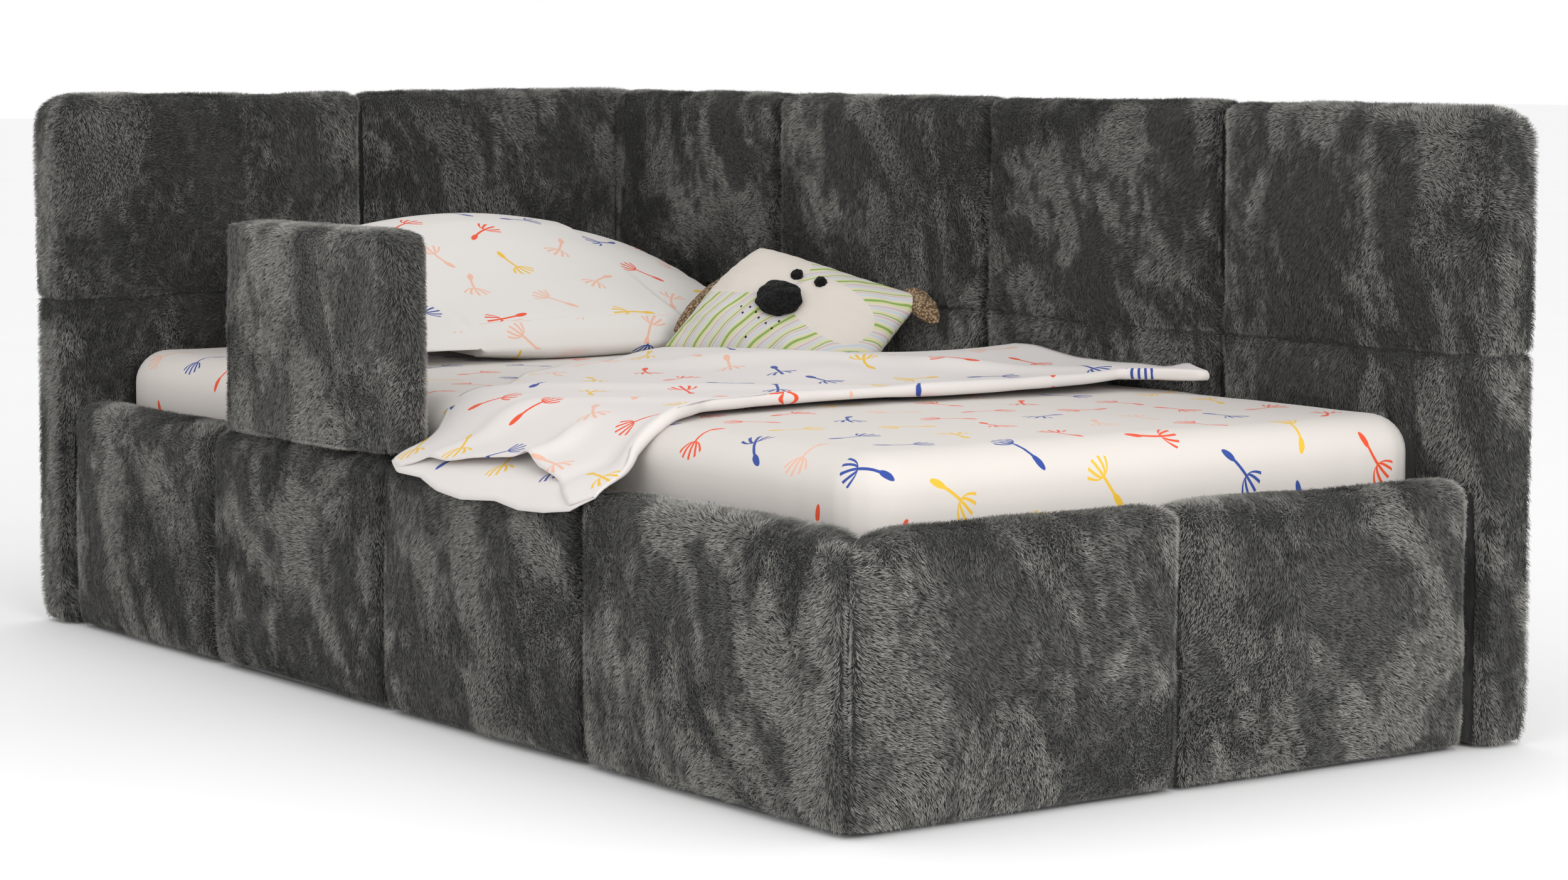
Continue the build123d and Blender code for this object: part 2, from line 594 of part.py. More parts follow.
def lens(plane, length, depth, mode):
    """Extrude a profile with two bowed sides through the whole cushion."""
    with BuildSketch(plane) as bowed:
        with BuildLine():
            ThreePointArc((-length / 2, 0), (0, TOY_T / 2), (length / 2, 0))
            ThreePointArc((length / 2, 0), (0, -TOY_T / 2), (-length / 2, 0))
        make_face()
    extrude(bowed.sketch, amount=depth / 2, both=True, mode=mode)


with BuildPart() as toy_body:
    lens(Plane(origin=toy.origin, x_dir=toy.x_dir, z_dir=toy.y_dir), TOY_W, TOY_H, Mode.ADD)
    lens(Plane(origin=toy.origin, x_dir=toy.y_dir, z_dir=toy.x_dir), TOY_H, TOY_W, Mode.INTERSECT)
    add(wrapped.part.moved(Location((0, 0, LIE_GAP))), mode=Mode.SUBTRACT)
save(toy_body, "toy_body")

with BuildPart() as toy_nose:
    with BuildSketch(toy.offset(NOSE_OUT[0])):
        Ellipse(*NOSE_SIZE)
    extrude(amount=NOSE_OUT[1])
    fillet(toy_nose.faces().sort_by_distance(toy.offset(LENGTH).origin)[0].edges(), NOSE_OUT[1] / 2)
    add(toy_body.part, mode=Mode.SUBTRACT)
save(toy_nose, "toy_nose")

with BuildPart() as toy_eyes:
    with BuildSketch(toy.offset(EYE_OUT[0])):
        with Locations(EYE_SPOTS):
            Circle(EYE_R)
    extrude(amount=EYE_OUT[1])
    add(toy_body.part, mode=Mode.SUBTRACT)
save(toy_eyes, "toy_eyes")

with BuildPart() as toy_ears:
    for spot, radii, turn in EARS:
        with BuildSketch(toy):
            with Locations(spot):
                Ellipse(*radii, rotation=turn)
        extrude(amount=EAR_T / 2, both=True)
    add(toy_body.part, mode=Mode.SUBTRACT)
save(toy_ears, "toy_ears")
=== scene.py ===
"""Looks of the corner toddler bed: plush panels, printed bedding, pillow, blanket and toy cushion.

Every length is in metres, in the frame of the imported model: head wall at -X, back wall at +Y.
"""
import json
import math
import bpy
import numpy as np
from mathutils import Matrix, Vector, noise
from mathutils.bvhtree import BVHTree


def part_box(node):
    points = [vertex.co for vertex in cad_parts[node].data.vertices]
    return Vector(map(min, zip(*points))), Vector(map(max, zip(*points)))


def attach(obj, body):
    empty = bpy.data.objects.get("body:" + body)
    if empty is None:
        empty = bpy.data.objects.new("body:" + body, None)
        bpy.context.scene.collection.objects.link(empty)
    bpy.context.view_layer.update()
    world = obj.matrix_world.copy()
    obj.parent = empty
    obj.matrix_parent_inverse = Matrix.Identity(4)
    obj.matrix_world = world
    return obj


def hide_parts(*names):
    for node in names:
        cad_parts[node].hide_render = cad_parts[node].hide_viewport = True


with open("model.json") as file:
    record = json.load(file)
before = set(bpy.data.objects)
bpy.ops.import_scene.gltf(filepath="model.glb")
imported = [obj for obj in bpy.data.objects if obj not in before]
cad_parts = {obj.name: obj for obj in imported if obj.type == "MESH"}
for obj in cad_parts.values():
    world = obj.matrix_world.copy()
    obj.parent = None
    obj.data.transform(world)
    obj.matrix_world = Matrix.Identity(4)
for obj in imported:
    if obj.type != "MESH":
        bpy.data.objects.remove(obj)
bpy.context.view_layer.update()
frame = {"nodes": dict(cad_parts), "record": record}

MM = 0.001

# ---------------------------------------------------------------- sizes
MATTRESS_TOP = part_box("fitted_sheet")[1][2]

# Pile of the plush: the length of its strands, and how far the cloth under it lies inside the CAD face
PILE = 6.8 * MM
SINK = 3.2 * MM
STRANDS_PER_M2 = 480000
STRAND_POINTS = 5
STRAND_R = 0.22 * MM
TIP_SHARE = 0.25

# Stuffing of a panel: its swelling in the middle, the uneven swellings and folds on it, and the
# crease at its seams. The walls' level seam has no crease.
BULGE = 1.5 * MM
GUARD_BULGE = -2 * MM
SWELLING = 2.2 * MM
FOLDING = 1.2 * MM
CREASE = 5 * MM
LEVEL_SEAM_Z = 0.425
# Fineness of a panel's mesh
VOXEL = 7 * MM
# Painted light and shade on each panel: how much lighter its pile is painted than the usual, for the
# light that falls on that panel
PANEL_PAINTED_LIGHT = {"guard_pad": 0.22, "front_pad_1": 0.02, "front_pad_2": -0.06, "front_pad_3": 0.05,
             "front_pad_4": 0.07, "foot_pad_1": 0.10, "foot_pad_2": 0.12, "head_upper_pad_2": -0.15,
             "back_upper_pad_1": -0.18, "back_upper_pad_2": -0.05, "back_upper_pad_3": -0.20,
             "back_upper_pad_4": -0.12}

# Sizes of the print on the cloths: the cell of its grid, and how much larger its sprigs are drawn
PRINT_CELL = 94 * MM
PRINT_SIZE = 1.25


# ---------------------------------------------------------------- small helpers
def mesh_object(name, points, faces, uvs=None, smooth=True):
    """A new mesh object from points and faces, linked to the scene; uvs are per point, in metres."""
    mesh = bpy.data.meshes.new(name)
    mesh.from_pydata([tuple(p) for p in points], [], [tuple(f) for f in faces])
    mesh.update()
    if uvs is not None:
        flat = mesh.uv_layers.new(name="flat")
        corners = np.empty(len(mesh.loops), dtype=int)
        mesh.loops.foreach_get("vertex_index", corners)
        flat.data.foreach_set("uv", np.asarray(uvs, dtype=float)[corners].ravel())
    obj = bpy.data.objects.new(name, mesh)
    bpy.context.scene.collection.objects.link(obj)
    if smooth:
        mesh.shade_smooth()
    return obj


def grid_faces(rows, columns, start=0):
    """Quads of a grid of points stored row by row."""
    faces = []
    for r in range(rows - 1):
        for c in range(columns - 1):
            a = start + r * columns + c
            faces.append((a, a + 1, a + columns + 1, a + columns))
    return faces


def ring_faces(rings, count, start=0):
    """Quads between closed rings of points stored ring by ring."""
    faces = []
    for r in range(rings - 1):
        for i in range(count):
            a, b = start + r * count + i, start + r * count + (i + 1) % count
            faces.append((a, a + count, b + count, b))
    return faces


def apply_modifiers(obj):
    """Replace the object's mesh by its evaluated one and drop its modifiers."""
    depsgraph = bpy.context.evaluated_depsgraph_get()
    mesh = bpy.data.meshes.new_from_object(obj.evaluated_get(depsgraph))
    obj.modifiers.clear()
    obj.data = mesh
    mesh.shade_smooth()


def weld_points(obj, distance):
    """Join the points that lie within a distance of each other."""
    weld = obj.modifiers.new("weld", "WELD")
    weld.merge_threshold = distance
    apply_modifiers(obj)


def coordinates(mesh):
    points = np.empty(len(mesh.vertices) * 3)
    mesh.vertices.foreach_get("co", points)
    return points.reshape(-1, 3)


def set_coordinates(mesh, points):
    mesh.vertices.foreach_set("co", np.asarray(points, dtype=float).ravel())
    mesh.update()


def vertex_normals(mesh):
    normals = np.empty(len(mesh.vertices) * 3)
    mesh.vertices.foreach_get("normal", normals)
    return normals.reshape(-1, 3)


LATTICE = np.random.default_rng(11).uniform(-1, 1, (64, 64, 64))


def noise_field(points, scale, seed):
    """Smooth noise in -1..1 at each point; scale is the size of its blobs in metres."""
    place = np.asarray(points) / scale + np.array([7.31, 3.17, 5.73]) * seed
    cell = np.floor(place).astype(int)
    part = place - cell
    part = part * part * (3 - 2 * part)
    total = np.zeros(len(place))
    for corner in np.ndindex(2, 2, 2):
        share = np.prod(np.where(corner, part, 1 - part), axis=1)
        i, j, k = ((cell + corner) % 64).T
        total += share * LATTICE[i, j, k]
    return total


def noise_vectors(points, scale, seed):
    """Three independent noise values at each point."""
    return np.stack([noise_field(points, scale, seed + k) for k in range(3)], axis=1)


def smoothstep(low, high, value):
    """0 at low and 1 at high, with a smooth way between them; low may be the larger one."""
    t = np.clip((value - low) / (high - low), 0, 1)
    return t * t * (3 - 2 * t)


def closer_at_ends(count, share):
    """Steps from -1 to 1 that get smaller towards both ends."""
    even = np.linspace(-1, 1, count)
    return np.sin(even * math.pi / 2) * share + even * (1 - share)


def dress(obj, material):
    """Give the object this one material."""
    obj.data.materials.clear()
    obj.data.materials.append(material)
    return obj


# ---------------------------------------------------------------- node material helpers
class Nodes:
    """Builds one material's node tree with short calls."""

    def __init__(self, name):
        self.material = bpy.data.materials.new(name)
        self.material.use_nodes = True
        self.tree = self.material.node_tree
        self.tree.nodes.clear()
        self.output = self.tree.nodes.new("ShaderNodeOutputMaterial")

    def add(self, kind, **settings):
        made = self.tree.nodes.new("ShaderNode" + kind)
        for key, value in settings.items():
            setattr(made, key, value)
        return made

    def put(self, socket, value):
        """Set a socket to a number or a vector, or link it."""
        if isinstance(value, bpy.types.NodeSocket):
            self.tree.links.new(value, socket)
        else:
            socket.default_value = value

    def math(self, operation, a, b=None, c=None):
        made = self.add("Math", operation=operation)
        for socket, value in zip(made.inputs, (a, b, c)):
            if value is not None:
                self.put(socket, value)
        return made.outputs[0]

    def vector(self, operation, a, b=None, scale=None):
        made = self.add("VectorMath", operation=operation)
        self.put(made.inputs[0], a)
        if b is not None:
            self.put(made.inputs[1], b)
        if scale is not None:
            self.put(made.inputs["Scale"], scale)
        return made.outputs["Value"] if operation in ("LENGTH", "DOT_PRODUCT") else made.outputs[0]

    def split(self, vector):
        made = self.add("SeparateXYZ")
        self.put(made.inputs[0], vector)
        return made.outputs

    def join(self, x, y, z=0.0):
        made = self.add("CombineXYZ")
        for socket, value in zip(made.inputs, (x, y, z)):
            self.put(socket, value)
        return made.outputs[0]

    def mix(self, share, a, b):
        made = self.add("Mix", data_type="RGBA")
        self.put(made.inputs["Factor"], share)
        self.put(made.inputs["A"], a)
        self.put(made.inputs["B"], b)
        return made.outputs["Result"]

    def noise(self, vector, scale, detail=2.0, rough=0.5):
        made = self.add("TexNoise")
        self.put(made.inputs["Vector"], vector)
        made.inputs["Scale"].default_value = scale
        made.inputs["Detail"].default_value = detail
        made.inputs["Roughness"].default_value = rough
        return made.outputs["Fac"]

    def ramp(self, value, low, high, to_low=0.0, to_high=1.0):
        """Map a range of value smoothly to another."""
        made = self.add("MapRange", interpolation_type="SMOOTHSTEP")
        self.put(made.inputs["Value"], value)
        self.put(made.inputs["From Min"], low)
        self.put(made.inputs["From Max"], high)
        made.inputs["To Min"].default_value = to_low
        made.inputs["To Max"].default_value = to_high
        return made.outputs["Result"]

    def stops(self, value, colours):
        """A stepped colour ramp: colours is a list of (position, colour)."""
        made = self.add("ValToRGB")
        ramp = made.color_ramp
        ramp.interpolation = "CONSTANT"
        for index, (position, colour) in enumerate(colours):
            stop = ramp.elements[index] if index < 2 else ramp.elements.new(position)
            stop.position = position
            stop.color = colour
        self.put(made.inputs[0], value)
        return made.outputs["Color"]

    def coords(self, kind="Object"):
        return self.add("TexCoord").outputs[kind]

    def bump(self, height, distance, strength=1.0, normal=None):
        made = self.add("Bump")
        made.inputs["Distance"].default_value = distance
        made.inputs["Strength"].default_value = strength
        self.put(made.inputs["Height"], height)
        if normal is not None:
            self.put(made.inputs["Normal"], normal)
        return made.outputs["Normal"]

    def surface(self, colour, rough, normal=None, **sockets):
        """A Principled surface on the output."""
        made = self.add("BsdfPrincipled")
        self.put(made.inputs["Base Color"], colour)
        self.put(made.inputs["Roughness"], rough)
        if normal is not None:
            self.put(made.inputs["Normal"], normal)
        for key, value in sockets.items():
            made.inputs[key.replace("_", " ")].default_value = value
        self.put(self.output.inputs["Surface"], made.outputs[0])
        return self.material


def grey(value, warm=0.96):
    """A grey a little short of green and blue."""
    return (value, value * 0.985, value * warm, 1)


# ---------------------------------------------------------------- plush materials
def plush_skin():
    """The cloth under the pile, with the pile's own streaks for where strands are thin."""
    n = Nodes("plush_skin")
    at = n.coords()
    patches = n.noise(at, 7.0, 3.0, 0.6)
    streaks = n.noise(n.vector("MULTIPLY", at, (260.0, 260.0, 60.0)), 1.0, 3.0, 0.7)
    tone = n.math("ADD", n.math("MULTIPLY", patches, 0.6), n.math("MULTIPLY", streaks, 0.4))
    colour = n.mix(n.ramp(tone, 0.35, 0.65), grey(0.010), grey(0.040))
    normal = n.bump(streaks, 2 * MM, 0.8)
    return n.surface(colour, 0.95, normal, Sheen_Weight=0.3, Sheen_Roughness=0.5,
                     Specular_IOR_Level=0.1)


def plush_pile():
    """The strands: grey, lighter at the tips, with the painted light and shade of the brushed pile on
    their tips.
    """
    n = Nodes("plush_pile")
    info = n.add("HairInfo")
    pile_tone_and_painted_light = n.add("Attribute", attribute_name="pile_tone_and_painted_light").outputs["Fac"]
    tone = n.math("ADD", n.math("MULTIPLY", pile_tone_and_painted_light, 0.8), n.math("MULTIPLY", info.outputs["Random"], 0.2))
    tips = n.mix(tone, grey(0.028, 0.90), grey(0.50, 0.90))
    colour = n.mix(n.ramp(info.outputs["Intercept"], 0.0, 0.9), grey(0.010), tips)
    return n.surface(colour, 0.55, None, Specular_IOR_Level=0.3, Sheen_Weight=0.1)


# ---------------------------------------------------------------- plush panels
def even_copy(name, source, voxel, rounds):
    """A closed, evenly meshed and smoothed copy of a CAD solid."""
    obj = bpy.data.objects.new(name, source.data.copy())
    bpy.context.scene.collection.objects.link(obj)
    weld = obj.modifiers.new("weld", "WELD")
    weld.merge_threshold = 0.05 * MM
    remesh = obj.modifiers.new("remesh", "REMESH")
    remesh.mode = "VOXEL"
    remesh.voxel_size = voxel
    smooth = obj.modifiers.new("smooth", "SMOOTH")
    smooth.iterations = rounds
    smooth.factor = 0.5
    apply_modifiers(obj)
    return obj


def blur(mesh, values, rounds):
    """Average a value per vertex with its neighbours' values."""
    edges = np.empty(len(mesh.edges) * 2, dtype=int)
    mesh.edges.foreach_get("vertices", edges)
    a, b = edges.reshape(-1, 2).T
    count = np.bincount(np.concatenate([a, b]), minlength=len(values))
    for _ in range(rounds):
        total = np.bincount(a, values[b], len(values)) + np.bincount(b, values[a], len(values))
        values = 0.5 * values + 0.5 * total / np.maximum(count, 1)
    return values


def blur_vectors(mesh, vectors, rounds):
    return np.stack([blur(mesh, column, rounds) for column in vectors.T], axis=1)


def surroundings(names, skip):
    """A search tree of the other CAD solids, to find what something covers."""
    points, faces = [], []
    for name in names:
        if name == skip:
            continue
        mesh = frame["nodes"][name].data
        start = len(points)
        points.extend(v.co.copy() for v in mesh.vertices)
        faces.extend([start + i for i in p.vertices] for p in mesh.polygons)
    return BVHTree.FromPolygons(points, faces)


def openness(obj, covers):
    """1 at each vertex with free space in front of it and 0 at each covered one."""
    behind, reach = 2 * MM, 14 * MM
    floor_gap, downward = 10 * MM, -0.6
    points, normals = coordinates(obj.data), vertex_normals(obj.data)
    free = np.ones(len(points))
    for index, (point, normal) in enumerate(zip(points, normals)):
        ahead = Vector(normal)
        hit = covers.ray_cast(Vector(point) - ahead * behind, ahead, reach)
        if hit[0] is not None or (point[2] < floor_gap and normal[2] < downward):
            free[index] = 0
    return free


def soften(obj, free, bulge, seed):
    """Sink the free faces by the pile's depth and give them the soft swellings of stuffed plush."""
    mesh = obj.data
    points, normals = coordinates(mesh), vertex_normals(mesh)
    # From about a half at a seam to 1 in the middle of a free face
    inward = blur(mesh, free, 45)
    wide = noise_field(points, 0.17, seed)
    folds = noise_field(points * (1.0, 1.0, 0.5), 0.055, seed + 11)
    swell = (bulge + SWELLING * wide + FOLDING * folds) * smoothstep(0.55, 0.99, inward)
    creased = 1 - 1.3 * np.exp(-((points[:, 2] - LEVEL_SEAM_Z) / 0.030) ** 2)
    swell -= CREASE * (1 - smoothstep(0.48, 0.90, inward)) * creased
    push = normals * ((swell - SINK) * free)[:, None]

    # The covered faces next to a free one go along with it, so that no ridge stands between them
    rounds = 4
    reach = blur(mesh, free, rounds)
    spread = blur_vectors(mesh, push, rounds)
    spread *= (smoothstep(0.02, 0.25, reach) / np.maximum(reach, 0.05))[:, None]
    push = np.where(free[:, None] > 0.5, push, spread)
    set_coordinates(mesh, points + blur_vectors(mesh, push, 1))


def unit(vectors):
    return vectors / np.maximum(np.linalg.norm(vectors, axis=1, keepdims=True), 1e-9)


def nap_and_painted_light(points):
    """How the pile is brushed: a lean direction, and two measures for the painted light and shade of
    the brushed pile.
    """
    downward, slant = 0.7, 0.30
    lean = (noise_vectors(points, 0.15, 3) + 0.5 * noise_vectors(points, 0.05, 23)) * 1.9
    lean[:, 2] -= downward
    bent = points + noise_vectors(points, 0.10, 61) * 0.03
    bent[:, :2] += slant * bent[:, 2:]
    streak = noise_field(bent * (1.0, 1.0, 0.16), 0.016, 43)
    patch = noise_field(bent * (1.0, 1.0, 0.42), 0.060, 53)
    patch += 0.5 * noise_field(bent * (1.0, 1.0, 0.5), 0.026, 57)
    return lean, streak, patch


def scatter(obj, free, lighter, rng):
    """Strand roots spread evenly over the free faces, with what the strands need there."""
    mesh = obj.data
    mesh.calc_loop_triangles()
    points, normals = coordinates(mesh), vertex_normals(mesh)
    triangles = np.empty(len(mesh.loop_triangles) * 3, dtype=int)
    mesh.loop_triangles.foreach_get("vertices", triangles)
    triangles = triangles.reshape(-1, 3)
    triangles = triangles[blur(mesh, free, 2)[triangles].mean(axis=1) > 0.2]
    lean, streak, patch = nap_and_painted_light(points)
    values = np.column_stack([points, normals, lean, streak, patch, np.full(len(points), lighter)])
    a, b, c = (points[triangles[:, k]] for k in range(3))
    areas = np.linalg.norm(np.cross(b - a, c - a), axis=1) / 2
    count = int(areas.sum() * STRANDS_PER_M2)
    picked = rng.choice(len(triangles), size=count, p=areas / areas.sum())
    u, v = rng.random(count), rng.random(count)
    flip = u + v > 1
    u[flip], v[flip] = 1 - u[flip], 1 - v[flip]
    shares = np.stack([1 - u - v, u, v], axis=1)
    return np.einsum("ijk,ij->ik", values[triangles[picked]], shares)


def grow_pile(name, roots, body, material, rng):
    """One hair object with a curved strand at each root, riding on a body."""
    count = len(roots)
    place, normal, lean = roots[:, 0:3], unit(roots[:, 3:6]), roots[:, 6:9]
    streak, patch, lighter = roots[:, 9], roots[:, 10], roots[:, 11]
    tuft = noise_vectors(place, 0.010, 71)
    lean = lean + 0.55 * tuft + rng.normal(size=(count, 3)) * 0.22
    lean = unit(lean - normal * (lean * normal).sum(axis=1, keepdims=True))
    upright = np.clip(0.46 + 0.30 * patch + 0.10 * rng.normal(size=count), 0.2, 0.9)
    length = PILE * (0.8 + 0.4 * rng.random(count))
    step = (length / (STRAND_POINTS - 1))[:, None]
    points = np.empty((count, STRAND_POINTS, 3))
    points[:, 0] = place
    for k in range(1, STRAND_POINTS):
        share = (k - 0.5) / (STRAND_POINTS - 1)
        lift = np.clip(upright + 0.30 - 0.60 * share, 0.05, 1)[:, None]
        points[:, k] = points[:, k - 1] + unit(normal * lift + lean * (1 - lift)) * step
    radius = np.linspace(1.0, TIP_SHARE, STRAND_POINTS) * STRAND_R
    curves = bpy.data.hair_curves.new(name)
    curves.add_curves([STRAND_POINTS] * count)
    curves.points.foreach_set("position", points.astype(np.float32).ravel())
    curves.points.foreach_set("radius", np.tile(radius, count).astype(np.float32))
    # Painted light and shade of the brushed pile: light and dark patches and streaks, painted glints
    # and the panel's painted light, with some random tone
    glint = noise_field(place * (1.0, 1.0, 0.45), 0.0055, 81) + 0.6 * tuft[:, 0]
    painted_sheen = patch + 0.45 * streak + 0.20 * glint
    pile_tone_and_painted_light = 0.33 + 0.42 * smoothstep(0.06, 0.40, painted_sheen) - 0.27 * smoothstep(0.0, 0.30, -painted_sheen)
    pile_tone_and_painted_light = np.clip(pile_tone_and_painted_light + lighter + 0.16 * glint + 0.10 * rng.normal(size=count), 0, 1)
    attribute = curves.attributes.new("pile_tone_and_painted_light", "FLOAT", "CURVE")
    attribute.data.foreach_set("value", pile_tone_and_painted_light.astype(np.float32))
    curves.materials.append(material)
    obj = bpy.data.objects.new(name, curves)
    bpy.context.scene.collection.objects.link(obj)
    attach(obj, body)


def press_into_corner(panel):
    """Push the panel's head end into the groove beside the head wall's corner panel."""
    points = coordinates(panel.data)
    push = 16 * MM
    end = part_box("back_upper_pad_1")[0][0]
    points[:, 0] -= push * smoothstep(end + 14 * MM, end + 2 * MM, points[:, 0])
    set_coordinates(panel.data, points)


def build_plush():
    skin, pile = plush_skin(), plush_pile()
    rng = np.random.default_rng(7)
    panels = sorted(n for n in frame["nodes"] if "_pad" in n)
    solids = panels + [n for n in frame["nodes"]
                       if n.endswith(("_board", "_ledger", "_lining", "_sheet"))]
    roots = {"bed": [], "guard": []}
    for index, node in enumerate(panels):
        body = "guard" if node == "guard_pad" else "bed"
        panel = dress(even_copy("plush_" + node, frame["nodes"][node], VOXEL, 3), skin)
        others = [n for n in solids if n.startswith("guard") == (body == "guard")]
        free = openness(panel, surroundings(others, node))
        if node == "back_upper_pad_1":
            press_into_corner(panel)
        soften(panel, free, GUARD_BULGE if body == "guard" else BULGE, index)
        # The panel's painted light and shade goes onto its strands
        roots[body].append(scatter(panel, free, PANEL_PAINTED_LIGHT.get(node, 0.0), rng))
        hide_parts(node)
        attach(panel, body)
    for body, parts in roots.items():
        grow_pile("pile_" + body, np.concatenate(parts), body, pile, rng)


# ---------------------------------------------------------------- printed cotton
RED = (0.72, 0.065, 0.012, 1)
BLUE = (0.014, 0.050, 0.27, 1)
YELLOW = (0.72, 0.44, 0.03, 1)
PEACH = (0.72, 0.42, 0.31, 1)


def print_layer(n, at, seed):
    """Seed-head sprigs, one in each cell of a grid whose rows are staggered: (mask, colour)."""
    grid = n.vector("SCALE", at, scale=1 / PRINT_CELL)
    grid = n.vector("ADD", grid, (seed * 3.7, seed * 1.3, 0.0))
    x, y, _ = n.split(grid)
    row = n.math("FLOOR", y)
    column_shift = n.math("MULTIPLY", n.math("FLOORED_MODULO", row, 2.0), 0.5)
    x = n.math("ADD", x, column_shift)
    cell = n.join(n.math("FLOOR", x), row, seed * 9.1)
    random = n.add("TexWhiteNoise", noise_dimensions="3D")
    n.put(random.inputs["Vector"], cell)
    red, green, blue = n.split(random.outputs["Color"])
    local = n.join(n.math("FRACT", x), n.math("FRACT", y))
    middle = n.join(n.math("MULTIPLY_ADD", red, 0.10, 0.45), n.math("MULTIPLY_ADD", green, 0.10, 0.45))
    local = n.vector("SUBTRACT", local, middle)
    # From here on in millimetres of a sprig 50 mm long, with its stem along x
    local = n.vector("SCALE", local, scale=PRINT_CELL * 1000 / PRINT_SIZE)
    turn = n.add("VectorRotate", rotation_type="Z_AXIS")
    n.put(turn.inputs["Vector"], local)
    n.put(turn.inputs["Angle"], n.math("MULTIPLY", random.outputs["Value"], 2 * math.pi))
    x, y, _ = n.split(turn.outputs[0])

    # The stem bends a little: y is measured from its bowed middle line
    bow = n.math("MULTIPLY", n.math("MULTIPLY", x, x), n.math("MULTIPLY_ADD", blue, 0.016, -0.008))
    y = n.math("ADD", y, bow)
    side = n.math("ABSOLUTE", y)
    edge = 0.25

    def shifted(limit, shift):
        if isinstance(limit, bpy.types.NodeSocket):
            return n.math("ADD", limit, shift)
        return limit + shift

    def under(value, limit):
        """1 where value is under the limit, with a soft edge."""
        return n.ramp(value, shifted(limit, -edge), shifted(limit, edge), 1.0, 0.0)

    def both(a, b):
        return n.math("MULTIPLY", a, b)

    def length_of(a, b):
        return n.math("SQRT", n.math("ADD", n.math("MULTIPLY", a, a), n.math("MULTIPLY", b, b)))

    # Stem from the seed at -20 to the fan's root at +4
    along_stem = n.math("ABSOLUTE", n.math("ADD", x, 8.0))
    stem = both(under(side, 1.35), under(along_stem, 12.5))
    # Seed: an ellipse at the foot of the stem
    seed_x = n.math("MULTIPLY", n.math("ADD", x, 22.0), 0.42)
    seed_dot = under(length_of(seed_x, y), 3.2)
    # Fan: rays at the whole numbers of a coordinate that spreads like a goblet
    fan_x = n.math("MAXIMUM", n.math("SUBTRACT", x, 3.2), 0.02)
    spread = n.math("MULTIPLY", n.math("POWER", fan_x, 0.50), 2.1)
    ray = n.math("DIVIDE", y, spread)
    off_ray = n.math("ABSOLUTE", n.math("SUBTRACT", n.math("FRACT", n.math("ADD", ray, 0.5)), 0.5))
    distance = n.math("MULTIPLY", off_ray, spread)
    reach = length_of(fan_x, y)
    width = n.math("MULTIPLY_ADD", reach, 0.014, 1.25)
    fan = both(under(distance, width), under(reach, 17.5))
    fan = both(fan, under(n.math("ABSOLUTE", ray), 2.4))
    fan = both(fan, n.math("GREATER_THAN", x, 3.3))
    mask = n.math("MAXIMUM", stem, n.math("MAXIMUM", seed_dot, fan))
    chance = n.add("TexWhiteNoise", noise_dimensions="3D")
    n.put(chance.inputs["Vector"], n.vector("ADD", cell, (17.0, 31.0, 5.0)))
    inks = [(0.0, RED), (0.29, BLUE), (0.58, YELLOW), (0.80, PEACH)]
    colour = n.stops(chance.outputs["Value"], inks)
    return mask, colour


def cotton(name, seed, base=(0.665, 0.635, 0.605, 1)):
    """Off-white cotton with the sprig print and a fine weave."""
    shade, shaded = 0.24, tuple(c * 0.93 for c in base[:3]) + (1,)
    n = Nodes(name)
    at = n.coords("UV")
    mask, colour = print_layer(n, at, seed)
    place = n.coords()
    tint = n.noise(place, 9.0, 2.0)
    cloth = n.mix(n.math("MULTIPLY", tint, shade), base, shaded)
    ink = n.mix(0.03, colour, base)
    weave = n.noise(at, 1800.0, 1.0)
    crumple = n.noise(place, 22.0, 3.0, 0.55)
    normal = n.bump(weave, 0.10 * MM, 0.35)
    normal = n.bump(crumple, 1.2 * MM, 0.35, normal)
    return n.surface(n.mix(mask, cloth, ink), 0.88, normal, Sheen_Weight=0.08, Specular_IOR_Level=0.2)


# ---------------------------------------------------------------- mattress and fitted sheet
def build_mattress():
    core = even_copy("mattress_core", frame["nodes"]["mattress"], 14 * MM, 10)
    n = Nodes("ticking")
    quilt = n.noise(n.coords(), 60.0, 2.0)
    dress(core, n.surface((0.70, 0.69, 0.66, 1), 0.85, n.bump(quilt, 1.0 * MM, 0.5)))
    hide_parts("mattress")
    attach(core, "mattress")


def sheet_profile(outer, top_r, low_r, high, low):
    """(distance out, height, length of cloth) from the flat top over the side to the underside."""
    profile = [(0.0, high)]
    profile += [(outer - top_r + top_r * math.sin(a), high - top_r * (1 - math.cos(a)))
                for a in np.linspace(0, math.pi / 2, 9)]
    profile += [(outer, z) for z in np.linspace(high - top_r, low + low_r, 9)[1:]]
    profile += [(outer - low_r * (1 - math.cos(a)), low + low_r * (1 - math.sin(a)))
                for a in np.linspace(0, math.pi / 2, 5)[1:]]
    hem_end = 4 * MM
    profile.append((hem_end, low))
    lengths = [0.0]
    for (x0, z0), (x1, z1) in zip(profile, profile[1:]):
        lengths.append(lengths[-1] + math.hypot(x1 - x0, z1 - z0))
    return [(out, z, length) for (out, z), length in zip(profile, lengths)]


